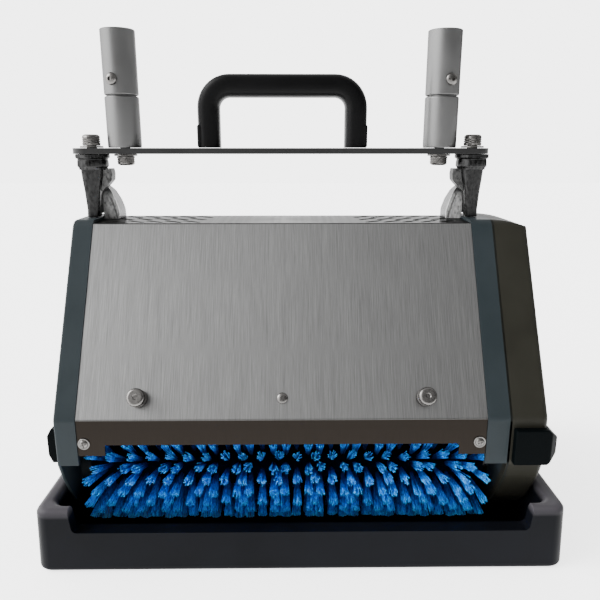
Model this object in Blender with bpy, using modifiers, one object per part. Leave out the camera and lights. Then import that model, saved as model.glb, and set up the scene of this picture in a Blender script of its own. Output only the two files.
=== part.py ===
"""Twin-brush floor scrubbing machine in its docking tray, as an assembly of separate parts.

Metres, +X right, -Y front, +Z up. The origin is on the ground at the middle of the tray.
"""

import math

import bmesh
import bpy
from mathutils import Matrix, Vector

# ---------------------------------------------------------------- driving dimensions
GAP = 0.0003                  # clearance between touching pieces

COVER_WIDTH = 0.380           # folded stainless cover, along X
MACHINE_X = -0.0175           # middle of the cover
DECK_Z = 0.3122               # flat top of the cover
DECK_HALF = 0.03565           # half depth of the flat top
FOLD_Z = 0.1436               # fold between the sloping panel and the lip
FOLD_Y = 0.13235
LIP_Z = 0.1184                # lower edge of the lip
TAB_Z = 0.1075                # lower edge of the lip's corner tabs
TAB_WIDTH = 0.025
SHEET = 0.0015
BEND_R = 0.003

CASTING_WIDTH = 0.0205        # end castings, along X
CASTING_WALL = 0.0036
CROWN_Z = 0.3152              # top of the castings
PROUD = 0.0010                # castings stand this far in front of the panel
FLANGE_Z = 0.098              # the castings' inward flange ends here
CASTING_BOTTOM_Z = 0.020
DRIVE_WIDTH = 0.0363          # belt cover on the right casting
DRIVE_WALL = 0.0032

BRUSH_Y = 0.066               # half the distance between the brush axes
BRUSH_Z = 0.065
BRUSH_R = 0.058
BRUSH_X0 = -0.2125
BRUSH_X1 = 0.1870
CORE_R = 0.023
SHAFT_R = 0.006
BEARING_R = 0.013
BEARING_WIDTH = 0.0078

GEAR_TEETH = 22
GEAR_MODULE = 0.002
GEAR_WIDTH = 0.010
PIN_R = 0.005

MOTOR_Z = 0.214
MOTOR_R = 0.059
MOTOR_X0 = -0.095
MOTOR_X1 = 0.110
MOTOR_SHAFT_R = 0.008
MOTOR_PULLEY_R = 0.012
DRIVEN_PULLEY_R = 0.024
BELT_THICK = 0.003
BELT_WIDTH = 0.010

PIVOT_Y = 0.018               # handle frame's tilt axis
EAR_REACH = 0.0200            # the arms stay outside this radius beside the ears
PIVOT_Z = 0.331
PIVOT_PIN_R = 0.005
STEM_REL = 0.198              # arms, from the middle of the cover
STEM_Y = -0.005
BAR_Y = -0.0065               # cross bar
BAR_Z = 0.3797
BAR_THICK = 0.0058
BAR_DEPTH = 0.0345
BAR_LEFT = 0.2127
BAR_RIGHT = 0.2100
TUBE_REL = 0.1605
TUBE_R = 0.01675
JOINT_Z = 0.4356
TUBE_TOP_Z = 0.4972
HANDLE_HALF = 0.0854          # carry handle, outer half width
HANDLE_TOP_Z = 0.4565
HANDLE_GRIP = 0.022

TRAY_X = 0.2470                # half length and half depth of the tray's rim
TRAY_Y = 0.1544
TRAY_Z = 0.0637
TRAY_FLARE = 0.0015            # the outer walls lean out this much towards the ground
TRAY_FLOOR = 0.0035
SILL_Z = 0.041
SILL_HALF = 0.212
TRAY_WALL_X = 0.0155
TRAY_WALL_Y = 0.0130

COVER_X0 = MACHINE_X - COVER_WIDTH / 2
COVER_X1 = MACHINE_X + COVER_WIDTH / 2
LEFT_X0 = COVER_X0 - CASTING_WIDTH
RIGHT_X1 = COVER_X1 + CASTING_WIDTH
DRIVE_X0 = RIGHT_X1 + GAP
DRIVE_X1 = DRIVE_X0 + DRIVE_WIDTH
BAR_TOP = BAR_Z + BAR_THICK
SLOPE = math.atan2(FOLD_Y - DECK_HALF, DECK_Z - FOLD_Z)
GEAR_X0 = RIGHT_X1 + 0.006
BELT_X0 = GEAR_X0 + GEAR_WIDTH + 0.003

ALONG_X = Matrix(((0, 0, 1, 0), (1, 0, 0, 0), (0, 1, 0, 0), (0, 0, 0, 1)))    # local X, Y, Z to Y, Z, X
ALONG_Y = Matrix(((1, 0, 0, 0), (0, 0, -1, 0), (0, 1, 0, 0), (0, 0, 0, 1)))   # local X, Y, Z to X, Z, -Y

# ---------------------------------------------------------------- scene and materials
for old in list(bpy.data.objects):
    bpy.data.objects.remove(old, do_unlink=True)
parts = bpy.data.collections.new("scrubbing_machine")
cutters = bpy.data.collections.new("cutters")
bpy.context.scene.collection.children.link(parts)
bpy.context.scene.collection.children.link(cutters)

FINISHES = {                  # colour, roughness, metallic
    "stainless": ((0.42, 0.42, 0.42), 0.35, 1.0),
    "cast_paint": ((0.055, 0.072, 0.078), 0.5, 0.2),
    "drive_paint": ((0.032, 0.032, 0.028), 0.5, 0.1),
    "black_plastic": ((0.012, 0.013, 0.015), 0.4, 0.0),
    "tray_plastic": ((0.022, 0.022, 0.027), 0.4, 0.0),
    "chrome": ((0.55, 0.55, 0.56), 0.12, 1.0),
    "steel": ((0.50, 0.50, 0.50), 0.3, 1.0),
    "grey_casting": ((0.32, 0.32, 0.32), 0.5, 0.3),
    "grey_tube": ((0.25, 0.25, 0.25), 0.4, 0.6),
    "bar_paint": ((0.06, 0.06, 0.06), 0.4, 0.3),
    "blue_bristle": ((0.01, 0.15, 0.45), 0.5, 0.0),
    "blue_core": ((0.01, 0.05, 0.2), 0.5, 0.0),
    "gear_plastic": ((0.6, 0.58, 0.5), 0.5, 0.0),
    "belt_rubber": ((0.01, 0.01, 0.01), 0.8, 0.0),
    "motor_paint": ((0.1, 0.1, 0.11), 0.5, 0.4),
}


def finish(name):
    """A new Principled material for one part."""
    color, roughness, metallic = FINISHES[name]
    material = bpy.data.materials.new(name)
    material.use_nodes = True
    shader = material.node_tree.nodes["Principled BSDF"]
    shader.inputs["Base Color"].default_value = (*color, 1.0)
    shader.inputs["Roughness"].default_value = roughness
    shader.inputs["Metallic"].default_value = metallic
    return material


def add(name, mesh, look, matrix=None):
    """Make an object of a mesh: a part if it has a look, and otherwise a hidden cutter."""
    item = bpy.data.objects.new(name, mesh)
    if matrix is not None:
        item.matrix_world = matrix
    if look:
        parts.objects.link(item)
        mesh.materials.append(finish(look))
    else:
        cutters.objects.link(item)
        item.hide_render = True
        item.display_type = "WIRE"
    return item


# ---------------------------------------------------------------- shape helpers
def rounded(points, radii, steps=3):
    """An outline whose corners are arcs: one radius for each point, 0 for a sharp corner."""
    outline = []
    for index, point in enumerate(points):
        corner = Vector(point)
        back = (Vector(points[index - 1]) - corner).normalized()
        ahead = (Vector(points[(index + 1) % len(points)]) - corner).normalized()
        radius = radii[index]
        if radius == 0:
            outline.append(corner)
            continue
        half = back.angle(ahead) / 2
        centre = corner + (back + ahead).normalized() * radius / math.sin(half)
        start = corner + back * radius / math.tan(half) - centre
        end = corner + ahead * radius / math.tan(half) - centre
        sweep = start.angle_signed(end)
        for step in range(steps + 1):
            turn = Matrix.Rotation(-sweep * step / steps, 2)
            outline.append(centre + turn @ start)
    return [tuple(point) for point in outline]


def mirrored(points):
    """A closed outline from its -Y half, which runs from the top down."""
    return list(points) + [(-y, z) for y, z in reversed(points)]


def inset(points, distance):
    """The outline moved inwards; it runs counterclockwise."""
    moved = []
    for index, point in enumerate(points):
        corner = Vector(point)
        back = (corner - Vector(points[index - 1])).normalized()
        ahead = (Vector(points[(index + 1) % len(points)]) - corner).normalized()
        side = Vector((-back.y, back.x)) + Vector((-ahead.y, ahead.x))
        scale = distance / max(0.3, side.normalized().dot(Vector((-ahead.y, ahead.x))))
        moved.append(tuple(corner + side.normalized() * scale))
    return moved


def flat(name, outlines, thickness, matrix, look):
    """A plate from 2D outlines; it is centred on its matrix along the thickness."""
    curve = bpy.data.curves.new(name + "_outline", "CURVE")
    curve.dimensions = "2D"
    curve.fill_mode = "BOTH"
    curve.extrude = thickness / 2
    for outline in outlines:
        spline = curve.splines.new("POLY")
        spline.points.add(len(outline) - 1)
        for point, (x, y) in zip(spline.points, outline):
            point.co = (x, y, 0, 1)
        spline.use_cyclic_u = True
    source = bpy.data.objects.new(name + "_outline", curve)
    cutters.objects.link(source)
    bpy.context.view_layer.update()
    mesh = bpy.data.meshes.new_from_object(source.evaluated_get(bpy.context.evaluated_depsgraph_get()))
    bpy.data.objects.remove(source)
    shape = bmesh.new()
    shape.from_mesh(mesh)
    bmesh.ops.remove_doubles(shape, verts=shape.verts, dist=0.000001)
    bmesh.ops.recalc_face_normals(shape, faces=shape.faces)
    shape.to_mesh(mesh)
    shape.free()
    mesh.name = name
    return add(name, mesh, look, matrix)


def profile_x(name, outlines, x0, x1, look):
    """A plate whose outline lies in the YZ plane, between x0 and x1."""
    return flat(name, outlines, x1 - x0, Matrix.Translation(((x0 + x1) / 2, 0, 0)) @ ALONG_X, look)


def loft_x(name, rings, look):
    """A solid through YZ outlines with the same number of points: rings are (x, outline)."""
    shape = bmesh.new()
    rows = [[shape.verts.new((x, y, z)) for y, z in outline] for x, outline in rings]
    count = len(rows[0])
    for near, far in zip(rows, rows[1:]):
        for index in range(count):
            ahead = (index + 1) % count
            shape.faces.new((near[index], near[ahead], far[ahead], far[index]))
    shape.faces.new(rows[0])
    shape.faces.new(rows[-1])
    bmesh.ops.recalc_face_normals(shape, faces=shape.faces)
    mesh = bpy.data.meshes.new(name)
    shape.to_mesh(mesh)
    shape.free()
    return add(name, mesh, look)


def block(name, low, high, look, bevel=0.0, segments=2):
    """A box between two corners, with rounded edges."""
    shape = bmesh.new()
    bmesh.ops.create_cube(shape, size=1.0)
    size = Vector(high) - Vector(low)
    bmesh.ops.scale(shape, vec=size, verts=shape.verts)
    mesh = bpy.data.meshes.new(name)
    shape.to_mesh(mesh)
    shape.free()
    item = add(name, mesh, look, Matrix.Translation((Vector(low) + Vector(high)) / 2))
    if bevel:
        soften(item, bevel, segments)
    return item


def rod(name, centre, radius, x0, x1, look, sides=14):
    """A cylinder along X; centre is its (y, z)."""
    axis = Matrix.Translation((0, centre[0], centre[1])) @ ALONG_X
    return turned(name, [(0, x1), (radius, x1), (radius, x0), (0, x0)], axis, look, sides)


def turned(name, profile, matrix, look, sides=20):
    """A turned part: (radius, height) points down its outer side, about the local Z axis."""
    mesh = bpy.data.meshes.new(name)
    closed = profile[0][0] > 0
    count = len(profile)
    edges = [(index, index + 1) for index in range(count - 1)]
    if closed:
        edges.append((count - 1, 0))
    mesh.from_pydata([(radius, 0, height) for radius, height in profile], edges, [])
    item = add(name, mesh, look, matrix)
    screw = item.modifiers.new("turn", "SCREW")
    screw.steps = sides
    screw.render_steps = sides
    screw.use_merge_vertices = True
    screw.merge_threshold = 0.00001
    screw.use_smooth_shade = False
    return item


def soften(item, width, segments=2, angle=30):
    bevel = item.modifiers.new("rounded_edges", "BEVEL")
    bevel.width = width
    bevel.segments = segments
    bevel.limit_method = "ANGLE"
    bevel.angle_limit = math.radians(angle)


def combine(item, other, operation):
    """Boolean with a hidden helper object."""
    boolean = item.modifiers.new(operation.lower(), "BOOLEAN")
    boolean.operation = operation
    boolean.solver = "EXACT"
    boolean.object = other


def cut(item, cutter):
    combine(item, cutter, "DIFFERENCE")


def join(item, helper):
    combine(item, helper, "UNION")


def folded(name, path, x0, x1, look):
    """Bent sheet metal: a path in the YZ plane is its outer side, from x0 to x1."""
    shape = bmesh.new()
    near = [shape.verts.new((x0, y, z)) for y, z in path]
    far = [shape.verts.new((x1, y, z)) for y, z in path]
    for index in range(len(path) - 1):
        shape.faces.new((near[index], far[index], far[index + 1], near[index + 1]))
    mesh = bpy.data.meshes.new(name)
    shape.to_mesh(mesh)
    shape.free()
    item = add(name, mesh, look)
    sheet = item.modifiers.new("sheet", "SOLIDIFY")
    sheet.thickness = SHEET
    sheet.offset = -1.0
    sheet.use_even_offset = True
    return item


def mirror_x(rel):
    """World X of a place given from the middle of the cover."""
    return MACHINE_X + rel


# ---------------------------------------------------------------- docking tray
def docking_tray():
    shape = bmesh.new()
    bmesh.ops.create_cube(shape, size=1.0)
    for vert in shape.verts:
        flare = TRAY_FLARE if vert.co.z < 0 else 0.0
        x = math.copysign(TRAY_X + flare, vert.co.x)
        y = math.copysign(TRAY_Y + flare, vert.co.y)
        vert.co = (x, y, TRAY_Z if vert.co.z > 0 else 0.0)
    upright = [edge for edge in shape.edges if abs(edge.verts[0].co.z - edge.verts[1].co.z) > 0.01]
    bmesh.ops.bevel(shape, geom=upright, offset=0.016, segments=4, profile=0.5, affect="EDGES")
    rims = [edge for edge in shape.edges if abs(edge.verts[0].co.z - edge.verts[1].co.z) < 0.001]
    bmesh.ops.bevel(shape, geom=rims, offset=0.0048, segments=3, profile=0.5, affect="EDGES")
    mesh = bpy.data.meshes.new("docking_tray")
    shape.to_mesh(mesh)
    shape.free()
    tray = add("docking_tray", mesh, "tray_plastic")
    well_x = TRAY_X - TRAY_WALL_X
    well_y = TRAY_Y - TRAY_WALL_Y
    cut(tray, block("tray_well", (-well_x, -well_y, TRAY_FLOOR), (well_x, well_y, 0.1), None, 0.012, 3))
    top = SILL_HALF + 0.005
    notch = [(-SILL_HALF, SILL_Z), (SILL_HALF, SILL_Z), (top, 0.08), (-top, 0.08)]
    notch = rounded(notch, [0.006, 0.006, 0, 0])
    sill = Matrix.Translation((0, -TRAY_Y, 0)) @ ALONG_Y
    cut(tray, flat("tray_sill", [notch], 0.05, sill, None))
    pad_top = CASTING_BOTTOM_Z - GAP
    pads = ((LEFT_X0 - 0.001, LEFT_X0 + 0.012), (RIGHT_X1, DRIVE_X1 - 0.002))
    for index, (x0, x1) in enumerate(pads):
        join(tray, block(f"tray_pad_{index}", (x0, -0.068, 0.001), (x1, 0.068, pad_top), None))


# ---------------------------------------------------------------- end castings and covers
def side_outline(depth=0.0):
    """Outline of the machine's ends in the YZ plane, moved inwards by depth."""
    lean = PROUD / math.cos(SLOPE)
    top_y = DECK_HALF + lean - (CROWN_Z - DECK_Z) * math.tan(SLOPE)
    front = FOLD_Y + PROUD
    half = [
        (-top_y, CROWN_Z),
        (-front, FOLD_Z),
        (-front, FLANGE_Z),
        (-0.126, 0.080),
        (-0.106, 0.046),
        (-0.092, 0.032),
        (-0.072, CASTING_BOTTOM_Z),
    ]
    outline = mirrored(half)
    if depth:
        outline = inset(outline, depth)
    radii = [max(0.012 - depth, 0.004), 0.010, 0.006, 0.010, 0.010, 0.008, 0.004]
    return rounded(outline, radii + radii[::-1], 2)


def bearing_seat(casting, name, y, x0, x1, bore_x0, bore_x1):
    join(casting, rod(name + "_boss", (y, BRUSH_Z), 0.017, x0, x1, None))
    cut(casting, rod(name + "_seat", (y, BRUSH_Z), BEARING_R + GAP, bore_x0, bore_x1, None))


def tab_lug(casting, name, side, x0, x1):
    """The lug behind a corner tab of the cover; its screw goes into a hole."""
    y0 = side * (FOLD_Y - SHEET - GAP)
    y1 = side * (FOLD_Y - 0.0085)
    low = (x0, min(y0, y1), TAB_Z + 0.001)
    high = (x1, max(y0, y1), FOLD_Z - 0.006)
    join(casting, block(name, low, high, None))


def end_castings():
    inner = inset(side_outline(), CASTING_WALL)
    left = profile_x("end_casting_left", [side_outline()], LEFT_X0, COVER_X0 - GAP, "cast_paint")
    right = profile_x("end_casting_right", [side_outline()], COVER_X1 + GAP, RIGHT_X1, "cast_paint")
    left_floor = LEFT_X0 + CASTING_WALL
    right_floor = RIGHT_X1 - CASTING_WALL
    cut(left, profile_x("left_pocket", [inner], left_floor, COVER_X0 + 0.01, None))
    cut(right, profile_x("right_pocket", [inner], COVER_X1 - 0.01, right_floor, None))
    cut(left, block("left_open", (left_floor, -0.2, 0), (0, 0.2, FLANGE_Z), None, 0.003, 1))
    cut(right, block("right_open", (0, -0.2, 0), (right_floor, 0.2, FLANGE_Z), None, 0.003, 1))
    foot = (LEFT_X0 + 0.001, -0.066, CASTING_BOTTOM_Z)
    join(left, block("left_foot", foot, (LEFT_X0 + 0.0115, 0.066, CASTING_BOTTOM_Z + 0.005), None))
    for side, end in ((-1, "front"), (1, "rear")):
        y = side * BRUSH_Y
        seat = left_floor + 0.0018
        bearing_seat(left, f"left_{end}", y, LEFT_X0 + 0.001, seat + BEARING_WIDTH, seat, 0)
        seat = right_floor + GAP
        bearing_seat(right, f"right_{end}", y, right_floor + 0.001, seat + BEARING_WIDTH, 0.1, 0.22)
        tab_lug(left, f"left_{end}_lug", side, COVER_X0 - 0.008, COVER_X0 + TAB_WIDTH - 0.002)
        tab_lug(right, f"right_{end}_lug", side, COVER_X1 - TAB_WIDTH + 0.002, COVER_X1 + 0.008)
        hole_y = (side * FOLD_Y, side * (FOLD_Y - 0.015))
        for casting, rel in ((left, -0.184), (right, 0.184)):
            tap = block(f"{end}_tap", (mirror_x(rel) - 0.0024, min(hole_y), 0.1176),
                        (mirror_x(rel) + 0.0024, max(hole_y), 0.1224), None)
            cut(casting, tap)
        pin = rod(f"idler_hole_{end}", (side * BRUSH_Y / 3, BRUSH_Z), PIN_R + GAP, 0.1, 0.25, None)
        cut(right, pin)
    cut(right, rod("motor_shaft_hole", (0, MOTOR_Z), 0.014, 0.1, 0.25, None))


def drive_cover():
    outline = side_outline()
    edge = 0.004
    rings = [(DRIVE_X0, 0.0), (DRIVE_X1 - edge, 0.0), (DRIVE_X1 - 0.3 * edge, 0.3 * edge), (DRIVE_X1, edge)]
    cover = loft_x("drive_cover", [(x, inset(outline, depth)) for x, depth in rings], "drive_paint")
    fall = Matrix.Translation((DRIVE_X1 + 0.002, 0, CROWN_Z - 0.0055)) @ Matrix.Rotation(math.radians(14), 4, "Y")
    crown = block("crown_fall", (-0.05, -0.2, 0), (0.05, 0.2, 0.05), None)
    crown.matrix_world = fall @ Matrix.Translation((-0.022, 0, 0.025))
    cut(cover, crown)
    pocket = inset(side_outline(0.004), DRIVE_WALL)
    cut(cover, profile_x("drive_pocket", [pocket], DRIVE_X0 - 0.01, DRIVE_X1 - DRIVE_WALL, None))


def bumpers():
    """Rubber corner blocks: a wrapped one on the belt side, a plain one on the other."""
    for side, end in ((-1, "front"), (1, "rear")):
        face = FOLD_Y + PROUD
        outer = DRIVE_X1 + GAP
        wrap = [
            (DRIVE_X0 + 0.0037, face + 0.008), (outer + 0.003, face + 0.008),
            (outer + 0.0085, face + 0.002), (outer + 0.0085, face - 0.034),
            (outer, face - 0.034), (outer, face + GAP), (DRIVE_X0 + 0.0037, face + GAP),
        ]
        wrap = [(x, side * y) for x, y in wrap]
        place = Matrix.Translation((0, 0, 0.1175))
        item = flat(f"bumper_{end}_right", [wrap], 0.035, place, "black_plastic")
        soften(item, 0.002, 1)
        ys = sorted((side * (face - 0.004), side * (face - 0.044)))
        low = (LEFT_X0 - GAP - 0.0085, ys[0], 0.099)
        item = block(f"bumper_{end}_left", low, (LEFT_X0 - GAP, ys[1], 0.133), "black_plastic")
        soften(item, 0.005, 1)


# ---------------------------------------------------------------- stainless cover and its fasteners
def cover_path():
    """Outer side of the folded cover in the YZ plane, from the front tabs over to the rear."""
    half = [(-FOLD_Y, TAB_Z), (-FOLD_Y, FOLD_Z), (-DECK_HALF, DECK_Z)]
    corners = half + [(-y, z) for y, z in reversed(half)]
    return rounded(corners, [0, BEND_R, BEND_R, BEND_R, BEND_R, 0], 2)


def top_cover():
    cover = folded("top_cover", cover_path(), COVER_X0, COVER_X1, "stainless")
    middle = (mirror_x(-COVER_WIDTH / 2 + TAB_WIDTH), -0.2, 0.09)
    cut(cover, block("lip_relief", middle, (mirror_x(COVER_WIDTH / 2 - TAB_WIDTH), 0.2, LIP_Z), None))
    holes = bpy.data.meshes.new("vent_slots")
    shape = bmesh.new()
    for group in (-1, 1):
        for row in range(3):
            for column in range(5):
                x = group * (0.170 - 0.019 * column - 0.004 * row)
                y = 0.021 * (row - 1)
                made = bmesh.ops.create_cube(shape, size=1.0)
                bmesh.ops.scale(shape, vec=(0.022, 0.0042, 0.02), verts=made["verts"])
                spot = Matrix.Translation((mirror_x(x), y, DECK_Z))
                place = spot @ Matrix.Rotation(group * math.radians(38), 4, "Z")
                bmesh.ops.transform(shape, matrix=place, verts=made["verts"])
    shape.to_mesh(holes)
    shape.free()
    cut(cover, add("vent_slots", holes, None))
    for rel in (-0.133, 0.0, 0.133):
        hole = [(0, 0.01), (0.0035, 0.01), (0.0035, -0.01), (0, -0.01)]
        cut(cover, turned("cover_hole", hole, panel_place(rel, -1), None, 10))
    for side in (-1, 1):
        for rel in (-0.184, 0.184):
            spot = Matrix.Translation((mirror_x(rel), side * FOLD_Y, 0.120)) @ ALONG_Y
            cut(cover, turned("tab_hole", [(0, 0.01), (0.0026, 0.01), (0.0026, -0.01), (0, -0.01)], spot, None, 8))


def panel_place(rel, side, up=0.0195):
    """On the sloping panel, local Z pointing out of it: up is measured from the fold."""
    y = side * (FOLD_Y - up * math.sin(SLOPE))
    z = FOLD_Z + up * math.cos(SLOPE)
    lean = Matrix.Rotation(-side * (math.pi / 2 - SLOPE), 4, "X")
    return Matrix.Translation((mirror_x(rel), y, z)) @ lean


def cover_fasteners():
    stud = [
        (0, 0.0152), (0.0058, 0.0152), (0.0085, 0.0125), (0.0085, 0.0095), (0.0062, 0.0080),
        (0.0062, GAP), (0.0032, GAP), (0.0032, -0.008), (0, -0.008),
    ]
    for rel, hand in ((-0.133, "left"), (0.133, "right")):
        turned(f"cover_stud_{hand}", stud, panel_place(rel, -1), "steel", 14)
    button = [
        (0, 0.0036), (0.0030, 0.0032), (0.0052, 0.0012), (0.0052, GAP),
        (0.0032, GAP), (0.0032, -0.006), (0, -0.006),
    ]
    turned("cover_screw", button, panel_place(0, -1), "steel", 12)
    pan = [
        (0, 0.0030), (0.0032, 0.0026), (0.0056, 0.0012), (0.0056, GAP),
        (0.0021, GAP), (0.0021, -0.009), (0, -0.009),
    ]
    for side, end in ((-1, "front"), (1, "rear")):
        for rel, hand in ((-0.184, "left"), (0.184, "right")):
            spot = Matrix.Translation((mirror_x(rel), side * FOLD_Y, 0.120))
            face = spot @ Matrix.Rotation(-side * math.pi / 2, 4, "X")
            turned(f"tab_screw_{end}_{hand}", pan, face, "steel", 10)


# ---------------------------------------------------------------- chassis inside the cover
def chassis_inside():
    x0 = LEFT_X0 + CASTING_WALL + GAP
    x1 = RIGHT_X1 - CASTING_WALL - GAP
    path = [(-0.121, 0.136), (-0.121, 0.1268), (0.121, 0.1268), (0.121, 0.136)]
    deck = folded("splash_deck", path, x0, x1, "steel")
    deck.modifiers["sheet"].offset = 1.0
    for side, end in ((-1, "front"), (1, "rear")):
        rod(f"tie_rod_{end}", (side * 0.108, 0.150), 0.006, x0, x1, "steel", 16)


# ---------------------------------------------------------------- brushes, gears and belt
def brushes():
    for side, end in ((-1, "front"), (1, "rear")):
        axis = Matrix.Translation((0, side * BRUSH_Y, BRUSH_Z)) @ ALONG_X
        left = LEFT_X0 + CASTING_WALL + 0.0022
        core = [
            (0, GEAR_X0 + GEAR_WIDTH), (SHAFT_R, GEAR_X0 + GEAR_WIDTH), (SHAFT_R, BRUSH_X1), (CORE_R, BRUSH_X1),
            (CORE_R, BRUSH_X0), (SHAFT_R, BRUSH_X0), (SHAFT_R, left), (0, left),
        ]
        turned(f"brush_core_{end}", core, axis, "blue_core", 20)
        bristle = [
            (CORE_R + GAP, BRUSH_X1), (BRUSH_R - 0.002, BRUSH_X1), (BRUSH_R, BRUSH_X1 - 0.003),
            (BRUSH_R, BRUSH_X0 + 0.003), (BRUSH_R - 0.002, BRUSH_X0), (CORE_R + GAP, BRUSH_X0),
        ]
        turned(f"bristles_{end}", bristle, axis, "blue_bristle", 28)
        ring = [
            (SHAFT_R + GAP, BEARING_WIDTH - GAP), (BEARING_R, BEARING_WIDTH - GAP),
            (BEARING_R, 0), (SHAFT_R + GAP, 0),
        ]
        seats = {"left": LEFT_X0 + CASTING_WALL + 0.0018 + GAP, "right": RIGHT_X1 - CASTING_WALL + GAP}
        for hand, x in seats.items():
            place = Matrix.Translation((x, side * BRUSH_Y, BRUSH_Z)) @ ALONG_X
            turned(f"brush_bearing_{end}_{hand}", ring, place, "steel", 14)


def gear_outline(half_turned):
    """Straight-sided teeth with backlash, as points round the gear."""
    root = GEAR_MODULE * GEAR_TEETH / 2 - 0.0022
    tip = GEAR_MODULE * GEAR_TEETH / 2 + 0.0016
    pitch = 2 * math.pi / GEAR_TEETH
    outline = []
    for tooth in range(GEAR_TEETH):
        middle = (tooth + (0.5 if half_turned else 0.0)) * pitch
        for radius, share in ((root, -0.28), (tip, -0.11), (tip, 0.11), (root, 0.28)):
            angle = middle + share * pitch
            outline.append((radius * math.cos(angle), radius * math.sin(angle)))
    return outline


def circle(radius, count, centre=(0.0, 0.0), start=0.0):
    return [
        (centre[0] + radius * math.cos(start + 2 * math.pi * step / count),
         centre[1] + radius * math.sin(start + 2 * math.pi * step / count))
        for step in range(count)
    ]


def gear(name, y, half_turned, bore):
    place = Matrix.Translation((GEAR_X0 + GEAR_WIDTH / 2, y, BRUSH_Z)) @ ALONG_X
    flat(name, [gear_outline(half_turned), circle(bore, 12)], GEAR_WIDTH, place, "gear_plastic")


def pulley(name, centre, radius, bore):
    """A belt pulley with a flange on each side."""
    x0 = BELT_X0 - 0.0012
    x1 = BELT_X0 + BELT_WIDTH + 0.0012
    lip = radius + BELT_THICK + 0.001
    profile = [
        (bore, x1), (lip, x1), (lip, x1 - 0.0009), (radius, x1 - 0.0009),
        (radius, x0 + 0.0009), (lip, x0 + 0.0009), (lip, x0), (bore, x0),
    ]
    place = Matrix.Translation((0, centre[0], centre[1])) @ ALONG_X
    turned(name, profile, place, "steel", 20)


def belt_loop(centres, radii, steps=12):
    """The outline of a belt round two pulleys, driven pulley first."""
    low, high = Vector(centres[0]), Vector(centres[1])
    along = high - low
    heading = math.atan2(along.y, along.x)
    wrap = math.acos((radii[0] - radii[1]) / along.length)
    outline = []
    for step in range(steps + 1):
        angle = heading + wrap + (2 * math.pi - 2 * wrap) * step / steps
        outline.append(tuple(low + radii[0] * Vector((math.cos(angle), math.sin(angle)))))
    for step in range(steps + 1):
        angle = heading - wrap + 2 * wrap * step / steps
        outline.append(tuple(high + radii[1] * Vector((math.cos(angle), math.sin(angle)))))
    return outline


def drive_train():
    idler_y = BRUSH_Y / 3
    gear("brush_gear_front", -BRUSH_Y, False, SHAFT_R + GAP)
    gear("idler_gear_front", -idler_y, True, PIN_R + GAP)
    gear("idler_gear_rear", idler_y, False, PIN_R + GAP)
    gear("brush_gear_rear", BRUSH_Y, True, SHAFT_R + GAP)
    pin_x0 = RIGHT_X1 - CASTING_WALL
    rod("idler_pin_front", (-idler_y, BRUSH_Z), PIN_R, pin_x0, BELT_X0 + BELT_WIDTH + 0.002, "steel", 16)
    rod("idler_pin_rear", (idler_y, BRUSH_Z), PIN_R, pin_x0, BELT_X0 - 0.001, "steel", 16)
    driven = (-idler_y, BRUSH_Z)
    motor = (0.0, MOTOR_Z)
    pulley("driven_pulley", driven, DRIVEN_PULLEY_R, PIN_R + GAP)
    pulley("motor_pulley", motor, MOTOR_PULLEY_R, MOTOR_SHAFT_R + GAP)
    loops = []
    for grow in (GAP * 2 + BELT_THICK, GAP * 2):
        loops.append(belt_loop((driven, motor), (DRIVEN_PULLEY_R + grow, MOTOR_PULLEY_R + grow)))
    profile_x("drive_belt", loops, BELT_X0, BELT_X0 + BELT_WIDTH, "belt_rubber")


# ---------------------------------------------------------------- motor
def motor():
    axis = Matrix.Translation((0, 0, MOTOR_Z)) @ ALONG_X
    bore = MOTOR_R - 0.005
    housing = [
        (bore, MOTOR_X1), (MOTOR_R, MOTOR_X1), (MOTOR_R, MOTOR_X0), (bore, MOTOR_X0),
        (bore, -0.045), (0.036, -0.045), (0.036, 0.075), (bore, 0.075),
    ]
    turned("motor_housing", housing, axis, "motor_paint", 24)
    bell = [
        (MOTOR_SHAFT_R + GAP, MOTOR_X1 + 0.020), (0.018, MOTOR_X1 + 0.020), (0.022, MOTOR_X1 + 0.010),
        (MOTOR_R - 0.006, MOTOR_X1 + 0.008), (MOTOR_R, MOTOR_X1 + GAP), (MOTOR_SHAFT_R + GAP, MOTOR_X1 + GAP),
    ]
    turned("motor_end_bell", bell, axis, "motor_paint", 20)
    plate = [
        (MOTOR_SHAFT_R + GAP, -0.056), (bore - GAP, -0.056), (bore - GAP, -0.062), (MOTOR_SHAFT_R + GAP, -0.062),
    ]
    turned("motor_bearing_plate", plate, axis, "motor_paint", 24)
    end = BELT_X0 + BELT_WIDTH + 0.001
    rotor = [
        (0, end), (MOTOR_SHAFT_R, end), (MOTOR_SHAFT_R, 0.075), (0.035, 0.075),
        (0.035, -0.045), (MOTOR_SHAFT_R, -0.045), (MOTOR_SHAFT_R, -0.088), (0, -0.088),
    ]
    turned("motor_rotor", rotor, axis, "steel", 16)
    hub = [(MOTOR_SHAFT_R + GAP, -0.068), (0.016, -0.068), (0.016, -0.086), (MOTOR_SHAFT_R + GAP, -0.086)]
    fan = turned("cooling_fan", hub, axis, "black_plastic", 14)
    for blade in range(7):
        vane = block(f"fan_blade_{blade}", (-0.008, -0.0012, 0.012), (0.008, 0.0012, 0.048), None)
        turn = Matrix.Rotation(2 * math.pi * blade / 7, 4, "X")
        vane.matrix_world = Matrix.Translation((-0.077, 0, MOTOR_Z)) @ turn @ Matrix.Translation((0, 0, 0.030))
        join(fan, vane)
    saddle = block("motor_cradle", (-0.055, -0.045, 0.1285), (0.085, 0.045, 0.180), "steel")
    cut(saddle, rod("cradle_bore", (0, MOTOR_Z), MOTOR_R + GAP, -0.1, 0.12, None, 24))
    cut(saddle, block("cradle_middle", (-0.037, -0.06, 0.134), (0.067, 0.06, 0.2), None))


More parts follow.
